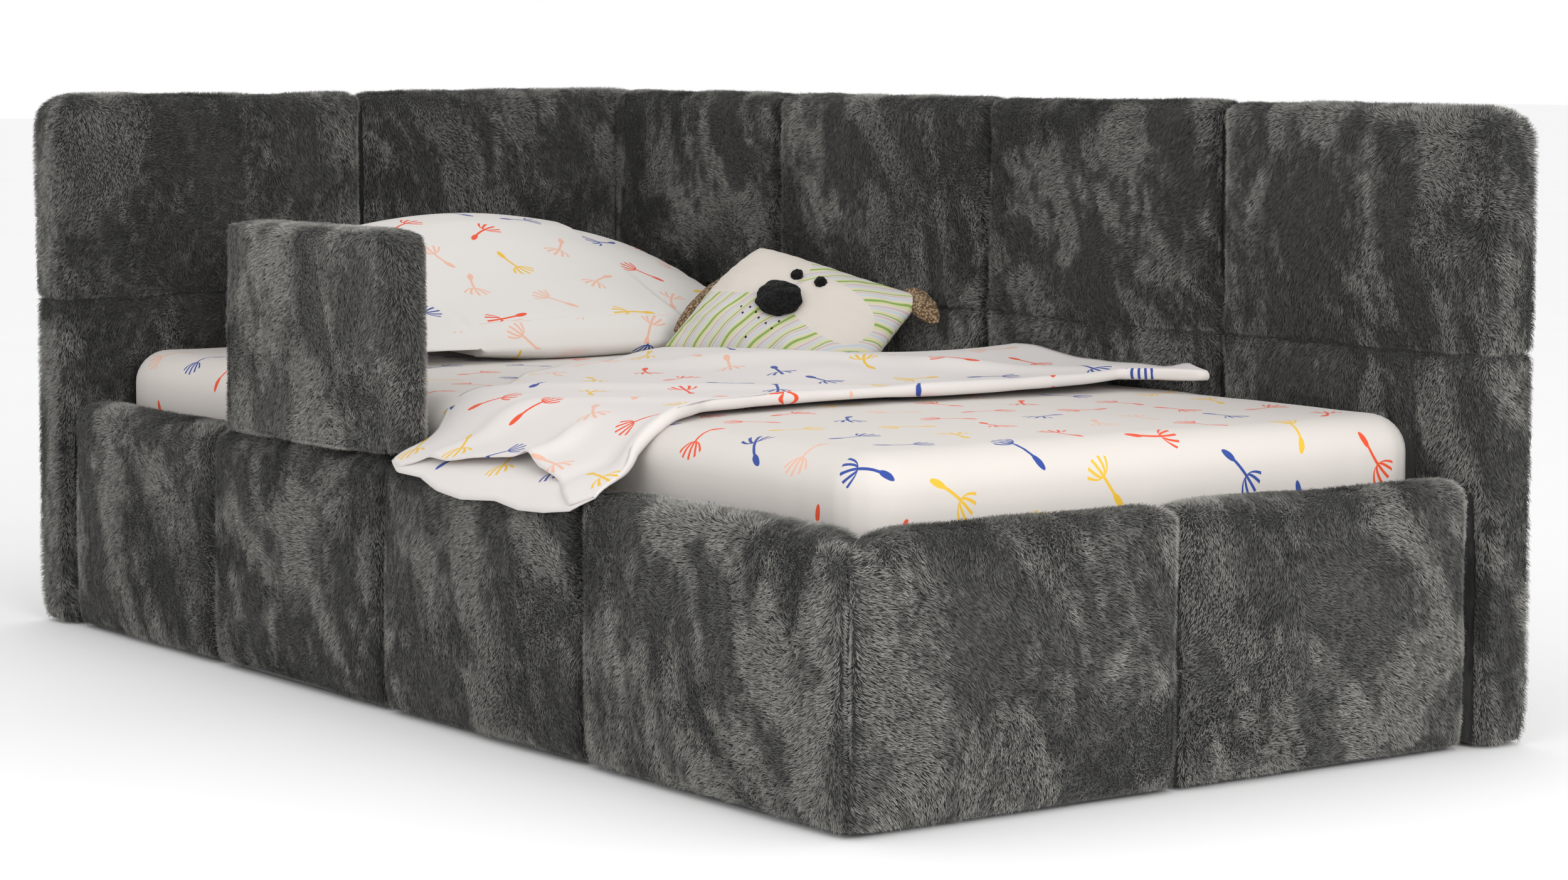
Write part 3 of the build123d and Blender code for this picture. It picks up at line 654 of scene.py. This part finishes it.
def build_fitted_sheet():
    low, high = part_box("fitted_sheet")
    corner, top_r, low_r = 50 * MM, 40 * MM, 18 * MM
    half_l, half_w = (high[0] - low[0]) / 2 - corner, (high[1] - low[1]) / 2 - corner
    mid_x, mid_y = (low[0] + high[0]) / 2, (low[1] + high[1]) / 2
    columns, rows, fan = 130, 58, 12
    xs, ys = np.linspace(-half_l, half_l, columns), np.linspace(-half_w, half_w, rows)
    points, flats = [], []
    for y in ys:
        for x in xs:
            points.append((mid_x + x, mid_y + y, high[2]))
            flats.append((x, y))
    faces = grid_faces(rows, columns)

    # The rim of the flat top, as (x, y, direction) with a fan of directions at each corner
    rim = []
    sides = [([(x, -half_w) for x in xs], -90), ([(half_l, y) for y in ys], 0),
             ([(x, half_w) for x in xs[::-1]], 90), ([(-half_l, y) for y in ys[::-1]], 180)]
    for spots, angle in sides:
        rim += [(x, y, math.radians(angle)) for x, y in spots]
        rim += [(*spots[-1], math.radians(angle + 90 * k / fan)) for k in range(1, fan)]
    start = len(points)
    profile = sheet_profile(corner, top_r, low_r, high[2], low[2])
    for out, z, length in profile:
        for x, y, angle in rim:
            c, s = math.cos(angle), math.sin(angle)
            points.append((mid_x + x + out * c, mid_y + y + out * s, z))
            flats.append((x + length * c, y + length * s))
    faces += ring_faces(len(profile), len(rim), start)
    sheet = mesh_object("fitted_sheet_cloth", points, faces, flats)
    weld_points(sheet, 0.02 * MM)

    # Soft unevenness on top, gathers on the sides close to the corners
    mesh = sheet.data
    places, normals = coordinates(mesh), vertex_normals(mesh)
    x, y, z = places.T
    x, y = x - mid_x, y - mid_y
    to_corner = np.hypot(np.abs(x) - half_l, np.abs(y) - half_w)
    around = np.arctan2(y - np.sign(y) * half_w, x - np.sign(x) * half_l)
    on_side = smoothstep(high[2] - 4 * MM, high[2] - top_r, z)
    gathers = np.sin(around * 16) * 0.7 * MM * smoothstep(0.16, 0.03, to_corner) * on_side
    uneven = noise_field(places, 0.22, 71) * 2.2 * MM
    uneven += noise_field(places * (1, 1, 0.3), 0.045, 72) * 0.7 * MM
    set_coordinates(mesh, places + normals * (gathers + uneven + 0.6 * MM)[:, None])
    dress(sheet, cotton("printed_cotton_sheet", 1.0, (0.614, 0.574, 0.539, 1)))
    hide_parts("fitted_sheet")
    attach(sheet, "mattress")


# ---------------------------------------------------------------- pillow
# The pillow's section at its middle: X and height above the bed, from the front seam over the top
PILLOW_TOP = ((-0.345, 0.014), (-0.352, 0.034), (-0.374, 0.052), (-0.43, 0.074), (-0.50, 0.104),
              (-0.57, 0.138), (-0.63, 0.162), (-0.68, 0.171), (-0.73, 0.163), (-0.77, 0.140),
              (-0.793, 0.108))
PILLOW_BOTTOM = ((-0.345, 0.014), (-0.350, 0.003), (-0.37, 0.0), (-0.45, 0.0), (-0.55, 0.0),
                 (-0.62, 0.002), (-0.68, 0.012), (-0.73, 0.034), (-0.765, 0.062), (-0.785, 0.086),
                 (-0.793, 0.108))
HEM = 46 * MM


def spline(points, count):
    """Evenly spaced points on a smooth curve along the given ones, with the lengths along it."""
    dense_count = count * 3
    points = np.array(points, dtype=float)
    steps = np.concatenate([[0], np.cumsum(np.linalg.norm(np.diff(points, axis=0), axis=1))])
    fine = np.linspace(0, steps[-1], dense_count)
    dense = np.stack([np.interp(fine, steps, column) for column in points.T], axis=1)
    kernel = np.hanning(max(5, dense_count // len(points)) | 1)
    kernel /= kernel.sum()
    pad = len(kernel) // 2
    longer = [np.concatenate([2 * c[0] - c[pad:0:-1], c, 2 * c[-1] - c[-2:-pad - 2:-1]])
              for c in dense.T]
    smooth = np.stack([np.convolve(column, kernel, "valid") for column in longer], axis=1)
    lengths = np.concatenate([[0], np.cumsum(np.linalg.norm(np.diff(smooth, axis=0), axis=1))])
    even = np.linspace(0, lengths[-1], count)
    return np.stack([np.interp(even, lengths, c) for c in smooth.T], axis=1), even


def build_pillow():
    low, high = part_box("pillow")
    lie = low[2]
    mid_y, half_y = (low[1] + high[1]) / 2, (high[1] - low[1]) / 2
    section, across = 96, 120
    top, top_length = spline(PILLOW_TOP, section)
    bottom, _ = spline(PILLOW_BOTTOM, section)
    points, flats = [], []
    for side, curve in ((1, top), (-1, bottom)):
        for v in closer_at_ends(across, 0.35):
            full = max(0.0, 1 - v * v) ** 0.70
            for k in range(section):
                x, z = curve[k]
                seam_z = 0.010 + 0.5 * np.interp(-x, -top[:, 0], top[:, 1])
                ends = math.sin(math.pi * k / (section - 1)) ** 0.5
                z = seam_z + (z - seam_z) * full * (0.25 + 0.75 * ends if abs(v) > 0.5 else 1)
                tuck = 1 - 0.045 * ends * abs(v) ** 3
                tuck -= 0.14 * smoothstep(-0.66, -0.80, x) * (1 if v < 0 else 0.3)
                points.append((x, mid_y + v * half_y * tuck, lie + z))
                # The hem and the underside show other parts of the print
                shift = 0.083 if side > 0 and top_length[k] < HEM else 0
                flats.append((top_length[k] + shift + (0.9 if side < 0 else 0), v * half_y + shift))
    faces = grid_faces(across, section)
    faces += [tuple(reversed(f)) for f in grid_faces(across, section, across * section)]
    pillow = mesh_object("pillow_cushion", points, faces, flats)
    weld_points(pillow, 0.3 * MM)
    mesh = pillow.data
    places, normals = coordinates(mesh), vertex_normals(mesh)
    x, y, z = places.T
    soft = noise_field(places, 0.20, 81) * 3.0 * MM + noise_field(places, 0.07, 82) * 1.2 * MM
    gathers = np.sin(x * 190 + 3 * noise_field(places, 0.08, 83)) * 1.4 * MM
    gathers *= smoothstep(0.10, 0.0, half_y - np.abs(y - mid_y))
    hem_x = np.interp(HEM, top_length, top[:, 0])
    groove = -1.6 * MM * np.exp(-((x - hem_x) / (2.2 * MM)) ** 2) * (normals[:, 2] > 0.1)
    moved = places + normals * (soft + gathers + groove)[:, None]
    moved[:, 2] = np.maximum(moved[:, 2], lie + 0.3 * MM)
    set_coordinates(mesh, moved)
    dress(pillow, cotton("printed_cotton_pillow", 2.0))
    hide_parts("pillow")
    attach(pillow, "pillow")


# ---------------------------------------------------------------- blanket
# The way the blanket lies, from the back wall over the bed, the mattress edge and the front rail:
# (Y, height of the lower layer)
BLANKET_WAY = ((0.368, 0.374), (0.330, 0.368), (0.25, 0.361), (0.15, 0.3585), (0.0, 0.358),
               (-0.15, 0.358), (-0.28, 0.358), (-0.335, 0.355), (-0.362, 0.343), (-0.380, 0.324),
               (-0.396, 0.310), (-0.420, 0.302), (-0.445, 0.294), (-0.458, 0.281), (-0.464, 0.266),
               (-0.466, 0.250))
# Its head-side and foot-side edges: X at each Y, and the X of the front lip with its height
HEAD_EDGE = ((-0.48, 0.030), (-0.44, 0.024), (-0.42, 0.020), (-0.39, 0.0), (-0.36, -0.003),
             (-0.321, -0.005), (-0.206, -0.141), (-0.095, -0.213), (0.0, -0.238), (0.075, -0.238),
             (0.100, -0.200), (0.215, -0.015), (0.290, 0.072), (0.368, 0.120))
FOOT_EDGE = ((-0.48, 0.450), (-0.44, 0.437), (-0.40, 0.420), (-0.372, 0.422), (-0.350, 0.415),
             (-0.295, 0.385), (-0.208, 0.370), (-0.116, 0.365), (0.042, 0.378), (0.290, 0.400),
             (0.312, 0.450), (0.330, 0.505), (0.345, 0.470), (0.368, 0.435))
LIP = ((0.010, 0.292), (0.028, 0.287), (0.053, 0.278), (0.104, 0.277), (0.146, 0.267),
       (0.196, 0.263), (0.264, 0.268), (0.314, 0.263), (0.364, 0.265), (0.413, 0.271),
       (0.454, 0.290), (0.52, 0.300))
# How far the upper layer's lip stays back from the lower one's, at each X
MOUTH = ((0.03, 0.0), (0.104, 0.020), (0.196, 0.044), (0.283, 0.054), (0.36, 0.038), (0.41, 0.006),
         (0.45, 0.0))
# How far each layer stands off the way, and how much of the fold's roundness it takes up
LOWER_LIFT, LOWER_ROLL = 2 * MM, 0.4
UPPER_LIFT, UPPER_ROLL = 5 * MM, 1.5
ROLL = 8 * MM
# What raises the upper layer by the toy and at its open front end, and lowers it at its head edge
TOY_RISE, MOUTH_RISE, RIM_DIP = 13 * MM, 8 * MM, 2 * MM
# Ridges of the upper layer: X and Y of the start and the end, height and half width in millimetres
RIDGES = ((-0.02, -0.34, 0.30, 0.06, 5.0, 26.0), (0.12, -0.40, 0.36, -0.14, 4.0, 20.0),
          (-0.20, -0.08, 0.26, 0.28, 6.0, 30.0), (0.26, -0.47, 0.30, -0.36, 9.0, 15.0),
          (-0.12, 0.02, 0.16, 0.16, 5.0, 22.0), (0.16, 0.20, 0.37, 0.36, 5.0, 20.0),
          (0.36, -0.47, 0.40, -0.34, -4.0, 16.0), (0.10, -0.47, 0.16, -0.32, 4.0, 20.0))


def ridge_rise(x, y):
    """How far the ridges raise the upper layer here."""
    total = 0.0
    for x0, y0, x1, y1, tall, wide in RIDGES:
        along = np.array((x1 - x0, y1 - y0))
        long = np.linalg.norm(along)
        t = ((x - x0) * along[0] + (y - y0) * along[1]) / long ** 2
        off = abs((x - x0) * along[1] - (y - y0) * along[0]) / long
        ends = smoothstep(-0.1, 0.2, t) * smoothstep(1.1, 0.8, t)
        total += tall * MM * ends * math.exp(-(off / (wide * MM)) ** 2)
    return total


def build_blanket():
    way, way_length = spline(BLANKET_WAY, 170)
    head_edge, foot_edge, lip, mouth = (np.array(edge).T for edge in (HEAD_EDGE, FOOT_EDGE, LIP, MOUTH))
    front = way[:, 0] < -0.44

    def on_way(s):
        return np.interp(s, way_length, way[:, 0]), np.interp(s, way_length, way[:, 1])

    def lip_length(x, back):
        """How far along the way the front lip lies at this X."""
        z = np.interp(x, *lip)
        return np.interp(-z, -way[front][:, 1], way_length[front]) - back

    # A row goes over the upper layer, round the fold and back under it: layer, share from the head
    # edge to the foot edge, and turn round the fold
    columns, fold, rows = 90, 8, 120
    across = [("upper", i / (columns - 1), 0.0) for i in range(columns)]
    across += [("fold", 1.0, math.pi * (i + 1) / (fold + 1)) for i in range(fold)]
    across += [("lower", 1 - i / (columns - 1), math.pi) for i in range(columns)]

    points, flats = [], []
    for j in range(rows):
        share = j / (rows - 1)
        rough_y = on_way(share * way_length[-1])[0]
        x_head, x_foot = np.interp(rough_y, *head_edge), np.interp(rough_y, *foot_edge)
        for layer, u, angle in across:
            x = x_head + (x_foot - x_head) * u
            s = share * lip_length(x, np.interp(x, *mouth) if layer == "upper" else 0.0)
            y, z = on_way(s)
            next_y, next_z = on_way(min(s + 2 * MM, way_length[-1]))
            dy, dz = next_y - y, next_z - z
            length = math.hypot(dy, dz) or 1
            out_y, out_z = dz / length, -dy / length
            full_roll = ROLL * smoothstep(1.0, 0.85, share) * smoothstep(0.46, 0.30, y)
            roll = full_roll * math.exp(-((x - x_foot) / 0.026) ** 2)
            lift = LOWER_LIFT + LOWER_ROLL * roll
            if layer == "upper":
                rim = math.exp(-((x - x_head) / 0.030) ** 2)
                by_toy = smoothstep(-0.02, 0.10, y) * smoothstep(0.26, 0.12, x)
                open_mouth = smoothstep(0.80, 1.0, share) * math.sin(math.pi * u) ** 2
                lift = (UPPER_LIFT + UPPER_ROLL * roll + TOY_RISE * by_toy - RIM_DIP * rim
                        + ridge_rise(x, y) + MOUTH_RISE * open_mouth)
            elif layer == "fold":
                low = LOWER_LIFT + LOWER_ROLL * full_roll
                high = UPPER_LIFT + UPPER_ROLL * full_roll
                x += (high - low) / 2 * math.sin(angle)
                lift = (low + high) / 2 + (high - low) / 2 * math.cos(angle)
            points.append((x, y + out_y * lift, z + out_z * lift))
            # The lower layer shows another part of the print
            flats.append((1.3 - x if layer == "lower" else x, s))
    blanket = mesh_object("blanket_cloth", points, grid_faces(rows, len(across)), flats)
    mesh = blanket.data
    places, normals = coordinates(mesh), vertex_normals(mesh)
    soft = noise_field(places, 0.11, 91) * 1.6 * MM + noise_field(places, 0.035, 92) * 0.6 * MM
    set_coordinates(mesh, places + normals * soft[:, None])
    thick = blanket.modifiers.new("thick", "SOLIDIFY")
    thick.thickness = 1.6 * MM
    thick.offset = 0
    apply_modifiers(blanket)
    dress(blanket, cotton("printed_cotton_blanket", 3.0, (0.655, 0.618, 0.596, 1)))
    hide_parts("blanket")
    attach(blanket, "blanket")


# ---------------------------------------------------------------- toy cushion
TOY_CENTRE = Vector((-0.185, 0.252, 0.402))
TOY_ACROSS = Vector((0.926, 0.304, -0.223)).normalized()
TOY_NORMAL = Vector((0.370, -0.622, 0.691))
TOY_NORMAL = (TOY_NORMAL - TOY_ACROSS * TOY_NORMAL.dot(TOY_ACROSS)).normalized()
TOY_UP = TOY_NORMAL.cross(TOY_ACROSS)
TOY_HALF = (0.1425, 0.095)
TOY_DEEP = 0.042
# Eyes: place on the face; ears: place, half length and half width, turn in degrees
TOY_EYES = ((-0.010, 0.043), (0.027, 0.044))
TOY_EARS = ((-0.134, -0.016, 0.017, 0.056, -8), (0.146, 0.083, 0.037, 0.015, -26))
# Small dots on the face, in millimetres
TOY_DOTS = ((-52, -26), (-38, -24), (-44, -34), (-26, -28), (-18, -34), (-4, -38), (8, -42),
            (12, -30), (-22, -62))


def toy_point(a, b, out):
    """A place in the toy's own frame: across, up its face, and out of its face."""
    return TOY_CENTRE + TOY_ACROSS * a + TOY_UP * b + TOY_NORMAL * out


def toy_cloth():
    """Plain face panels on cotton with curved stripes and a few small dots."""
    n = Nodes("toy_cloth")
    at = n.vector("SCALE", n.coords("UV"), scale=1000.0)
    a, b, _ = n.split(at)
    away = n.vector("LENGTH", n.vector("SUBTRACT", at, (262.0, -205.0, 0.0)))
    away = n.math("ADD", away, n.math("MULTIPLY", n.noise(at, 0.02, 1.0), 10.0))
    white = (0.60, 0.555, 0.495, 1)
    cream = (0.57, 0.555, 0.34, 1)
    green = (0.22, 0.35, 0.09, 1)
    pink = (0.52, 0.42, 0.44, 1)
    blue = (0.48, 0.53, 0.57, 1)
    bands = [(0.0, white), (0.04, pink), (0.11, white), (0.17, cream), (0.27, green), (0.365, cream),
             (0.43, white), (0.49, blue), (0.58, white), (0.63, pink), (0.69, white), (0.735, green),
             (0.775, cream), (0.87, white), (0.92, blue)]
    stripes = n.stops(n.math("FRACT", n.math("DIVIDE", away, 37.0)), bands)

    def oval(middle_a, middle_b, radius_a, radius_b, turn):
        """1 inside a squared-off oval."""
        power = 2.6
        c, s = math.cos(turn), math.sin(turn)
        da, db = n.math("SUBTRACT", a, middle_a), n.math("SUBTRACT", b, middle_b)
        u = n.math("ADD", n.math("MULTIPLY", da, c / radius_a), n.math("MULTIPLY", db, s / radius_a))
        v = n.math("ADD", n.math("MULTIPLY", da, -s / radius_b), n.math("MULTIPLY", db, c / radius_b))
        u, v = (n.math("POWER", n.math("ABSOLUTE", w), power) for w in (u, v))
        return n.ramp(n.math("ADD", u, v), 0.97, 1.03, 1.0, 0.0)

    panels = n.math("MAXIMUM", oval(-84.0, 40.0, 82.0, 47.0, 0.10), oval(62.0, 14.0, 60.0, 38.0, -0.24))
    colour = n.mix(panels, stripes, (0.61, 0.560, 0.505, 1))
    for dot_a, dot_b in TOY_DOTS:
        spot = n.vector("LENGTH", n.vector("SUBTRACT", at, (dot_a, dot_b, 0.0)))
        colour = n.mix(n.ramp(spot, 1.3, 2.0, 1.0, 0.0), colour, (0.01, 0.01, 0.01, 1))
    crinkle = n.noise(n.vector("MULTIPLY", at, (0.25, 1.0, 1.0)), 0.8, 2.0)
    place = n.coords()
    normal = n.bump(crinkle, 0.5 * MM, 0.5)
    normal = n.bump(n.noise(place, 40.0, 3.0), 1.2 * MM, 0.4, normal)
    return n.surface(colour, 0.9, normal, Sheen_Weight=0.08, Specular_IOR_Level=0.2)


def knit(name, dark, light, scale):
    """Knitted yarn: small rounded loops in rows, with painted shade in the grooves between the loops.
    """
    n = Nodes(name)
    place = n.coords()
    loops = n.add("TexVoronoi")
    n.put(loops.inputs["Vector"], place)
    loops.inputs["Scale"].default_value = scale
    shape = loops.outputs["Distance"]
    # Painted shade: the colour darkens towards the grooves between the loops
    colour = n.mix(n.ramp(shape, 0.1, 0.7), light, dark)
    return n.surface(colour, 0.9, n.bump(shape, -2.0 * MM, 0.9), Sheen_Weight=0.05,
                     Specular_IOR_Level=0.15)


def blob(name, middle, axes, radii, rough, seed, turns=28):
    """A rounded stuffed shape with a lumpy skin."""
    points = []
    for j in range(turns + 1):
        polar = math.pi * j / turns
        for i in range(2 * turns):
            around = math.pi * i / turns
            d = Vector((math.sin(polar) * math.cos(around), math.sin(polar) * math.sin(around),
                        math.cos(polar)))
            lump = 1 + rough * noise.noise(d * 2.3 + Vector((seed, 0, 0)))
            out = (axis * (radius * lump * c) for axis, radius, c in zip(axes, radii, d))
            points.append(middle + sum(out, Vector()))
    shape = mesh_object(name, points, ring_faces(turns + 1, 2 * turns))
    weld_points(shape, 0.01 * MM)
    return shape


def toy_depth(s, t):
    """Height of the stuffed cushion's face over its middle plane; s and t go from -1 to 1."""
    return TOY_DEEP * (max(0.0, 1 - abs(s) ** 2.2) * max(0.0, 1 - abs(t) ** 2.2)) ** 0.55


def on_toy(a, b, out):
    """A place on the toy's face, raised by a little."""
    return toy_point(a, b, toy_depth(a / TOY_HALF[0], b / TOY_HALF[1]) + out)


def build_toy():
    bed_z = MATTRESS_TOP + 0.8 * MM
    count = 64
    steps = closer_at_ends(count, 0.4)
    points, flats = [], []
    for side in (1, -1):
        for t in steps:
            for s in steps:
                # The sides pull in between the corners, and one corner is drawn in
                a = TOY_HALF[0] * s * (1 - 0.050 * (1 - t * t) * abs(s) ** 2)
                b = TOY_HALF[1] * t * (1 - 0.060 * (1 - s * s) * abs(t) ** 2)
                a += 0.026 * max(0, -s) ** 3 * max(0, t) ** 1.5
                b -= 0.006 * max(0, -s) ** 3 * max(0, t) ** 3
                pucker = 1 + 0.10 * noise.noise(Vector((a * 30, b * 30, side)))
                pucker += 0.05 * math.sin(34 * (s if abs(t) > abs(s) else t)) * max(abs(s), abs(t)) ** 4
                place = toy_point(a, b, side * toy_depth(s, t) * pucker)
                place.z = max(place.z, bed_z)
                points.append(place)
                flats.append((a, b + (0.4 if side < 0 else 0)))
    faces = grid_faces(count, count)
    faces += [tuple(reversed(f)) for f in grid_faces(count, count, count * count)]
    body = mesh_object("toy_cushion", points, faces, flats)
    weld_points(body, 0.05 * MM)
    dress(body, toy_cloth())
    axes = (TOY_ACROSS, TOY_UP, TOY_NORMAL)
    black = knit("black_yarn", (0.003, 0.003, 0.003, 1), (0.012, 0.012, 0.012, 1), 330.0)
    brown = knit("brown_yarn", (0.10, 0.06, 0.03, 1), (0.42, 0.30, 0.19, 1), 300.0)
    nose = blob("toy_nose_knit", on_toy(-0.004, -0.003, 0.006), axes, (0.032, 0.0255, 0.014), 0.16, 3.0)
    eyes = [blob("toy_eye_%d" % k, on_toy(a, b, 0.002), axes, (0.0082, 0.0078, 0.0065), 0.20, 7.0 + k,
                 turns=14)
            for k, (a, b) in enumerate(TOY_EYES)]
    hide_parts("toy_body")
    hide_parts("toy_nose")
    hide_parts("toy_eyes")
    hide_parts("toy_eyes")
    ears = []
    for k, (a, b, ra, rb, turn) in enumerate(TOY_EARS):
        c, s = math.cos(math.radians(turn)), math.sin(math.radians(turn))
        along, up = TOY_ACROSS * c + TOY_UP * s, TOY_UP * c - TOY_ACROSS * s
        ear = blob("toy_ear_%d" % k, toy_point(a, b, -0.001), (along, up, TOY_NORMAL), (ra, rb, 0.0075),
                   0.10, 11.0 + k)
        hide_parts("toy_ears")
        ears.append(ear)
    for piece in (nose, *eyes):
        dress(piece, black)
    for piece in ears:
        dress(piece, brown)
    for piece in (body, nose, *eyes, *ears):
        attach(piece, "toy")


# ---------------------------------------------------------------- hidden frame
def finish_frame():
    """Better surfaces for the boards, battens and fittings that stay as they are."""
    def wood(name, pale, dark, along, scale):
        n = Nodes(name)
        at = n.vector("MULTIPLY", n.coords(), along)
        grain = n.noise(at, scale, 4.0, 0.6)
        fine = n.noise(at, scale * 9, 2.0, 0.6)
        tone = n.math("ADD", n.math("MULTIPLY", grain, 0.7), n.math("MULTIPLY", fine, 0.3))
        return n.surface(n.mix(n.ramp(tone, 0.35, 0.7), pale, dark), 0.55, n.bump(tone, 0.3 * MM, 0.4))

    def metal(name, colour, rough, metallic):
        n = Nodes(name)
        speck = n.noise(n.coords(), 900.0, 2.0)
        return n.surface(colour, rough, n.bump(speck, 0.05 * MM, 0.4), Metallic=metallic)

    def cloth(name, colour):
        n = Nodes(name)
        weave = n.noise(n.coords(), 1500.0, 1.0)
        return n.surface(colour, 0.9, n.bump(weave, 0.2 * MM, 0.5), Sheen_Weight=0.1)

    looks = {
        "plywood": wood("plywood_look", (0.60, 0.44, 0.27, 1), (0.40, 0.26, 0.14, 1), (1, 1, 14), 5.0),
        "pine": wood("pine_look", (0.68, 0.50, 0.30, 1), (0.46, 0.29, 0.14, 1), (1.5, 1.5, 20), 6.0),
        "birch": wood("birch_look", (0.66, 0.53, 0.35, 1), (0.50, 0.37, 0.22, 1), (18, 1.2, 1), 6.0),
        "zinc_steel": metal("zinc_look", (0.60, 0.60, 0.61, 1), 0.35, 1.0),
        "black_steel": metal("black_steel_look", (0.015, 0.015, 0.016, 1), 0.45, 0.0),
        "black_plastic": metal("black_plastic_look", (0.020, 0.020, 0.020, 1), 0.5, 0.0),
        "lining_cloth": cloth("lining_look", (0.030, 0.030, 0.029, 1)),
    }
    for part in frame["record"]["subparts"]:
        if part["material_slot"] in looks:
            dress(frame["nodes"][part["node"]], looks[part["material_slot"]])


# ---------------------------------------------------------------- camera, light and floor
# The camera: place, tilt below level and turn in degrees, lens in millimetres
CAMERA_PLACE = (3.7837, -2.6033, 0.7597)
CAMERA_TILT, CAMERA_TURN = 4.54, 54.41
CAMERA_LENS, CAMERA_SHIFT = 89.22, -0.06
# The area lights: name, place, what it aims at, its sides, and its power in watts
LIGHTS = (("key", (4.6, -1.0, 1.8), (0.6, 0.0, 0.2), (2.4, 2.0), 100),
          ("side", (2.4, -4.4, 1.6), (0.3, 0, 0.3), (2.6, 2.0), 25))
FLOOR_HALF = 30


def build_stage():
    camera = bpy.data.cameras.new("camera")
    camera.lens = CAMERA_LENS
    camera.shift_y = CAMERA_SHIFT
    camera.sensor_width = 36
    camera.clip_end = 50
    view = bpy.data.objects.new("camera", camera)
    view.location = CAMERA_PLACE
    view.rotation_euler = (math.radians(90 - CAMERA_TILT), 0, math.radians(CAMERA_TURN))
    bpy.context.scene.collection.objects.link(view)
    bpy.context.scene.camera = view

    corners = [(x * FLOOR_HALF, y * FLOOR_HALF, 0) for x, y in ((-1, -1), (1, -1), (1, 1), (-1, 1))]
    floor = mesh_object("floor", corners, [(0, 1, 2, 3)], smooth=False)
    n = Nodes("floor_white")
    grain = n.noise(n.coords(), 3.0, 2.0)
    n.surface(n.mix(grain, (0.90, 0.90, 0.90, 1), (0.93, 0.93, 0.93, 1)), 0.9)
    dress(floor, n.material)

    for name, place, aim, size, power in LIGHTS:
        light = bpy.data.lights.new(name, "AREA")
        light.shape = "RECTANGLE"
        light.size, light.size_y = size
        light.energy = power
        obj = bpy.data.objects.new(name, light)
        obj.location = place
        obj.rotation_euler = (Vector(aim) - Vector(place)).to_track_quat("-Z", "Y").to_euler()
        bpy.context.scene.collection.objects.link(obj)

    world = bpy.data.worlds.new("world")
    world.use_nodes = True
    world.node_tree.nodes["Background"].inputs["Color"].default_value = (1, 1, 1, 1)
    world.node_tree.nodes["Background"].inputs["Strength"].default_value = 1.0
    bpy.context.scene.world = world
    bpy.context.scene.view_settings.view_transform = "Standard"


build_stage()
build_plush()
build_mattress()
build_fitted_sheet()
build_pillow()
build_blanket()
build_toy()
finish_frame()
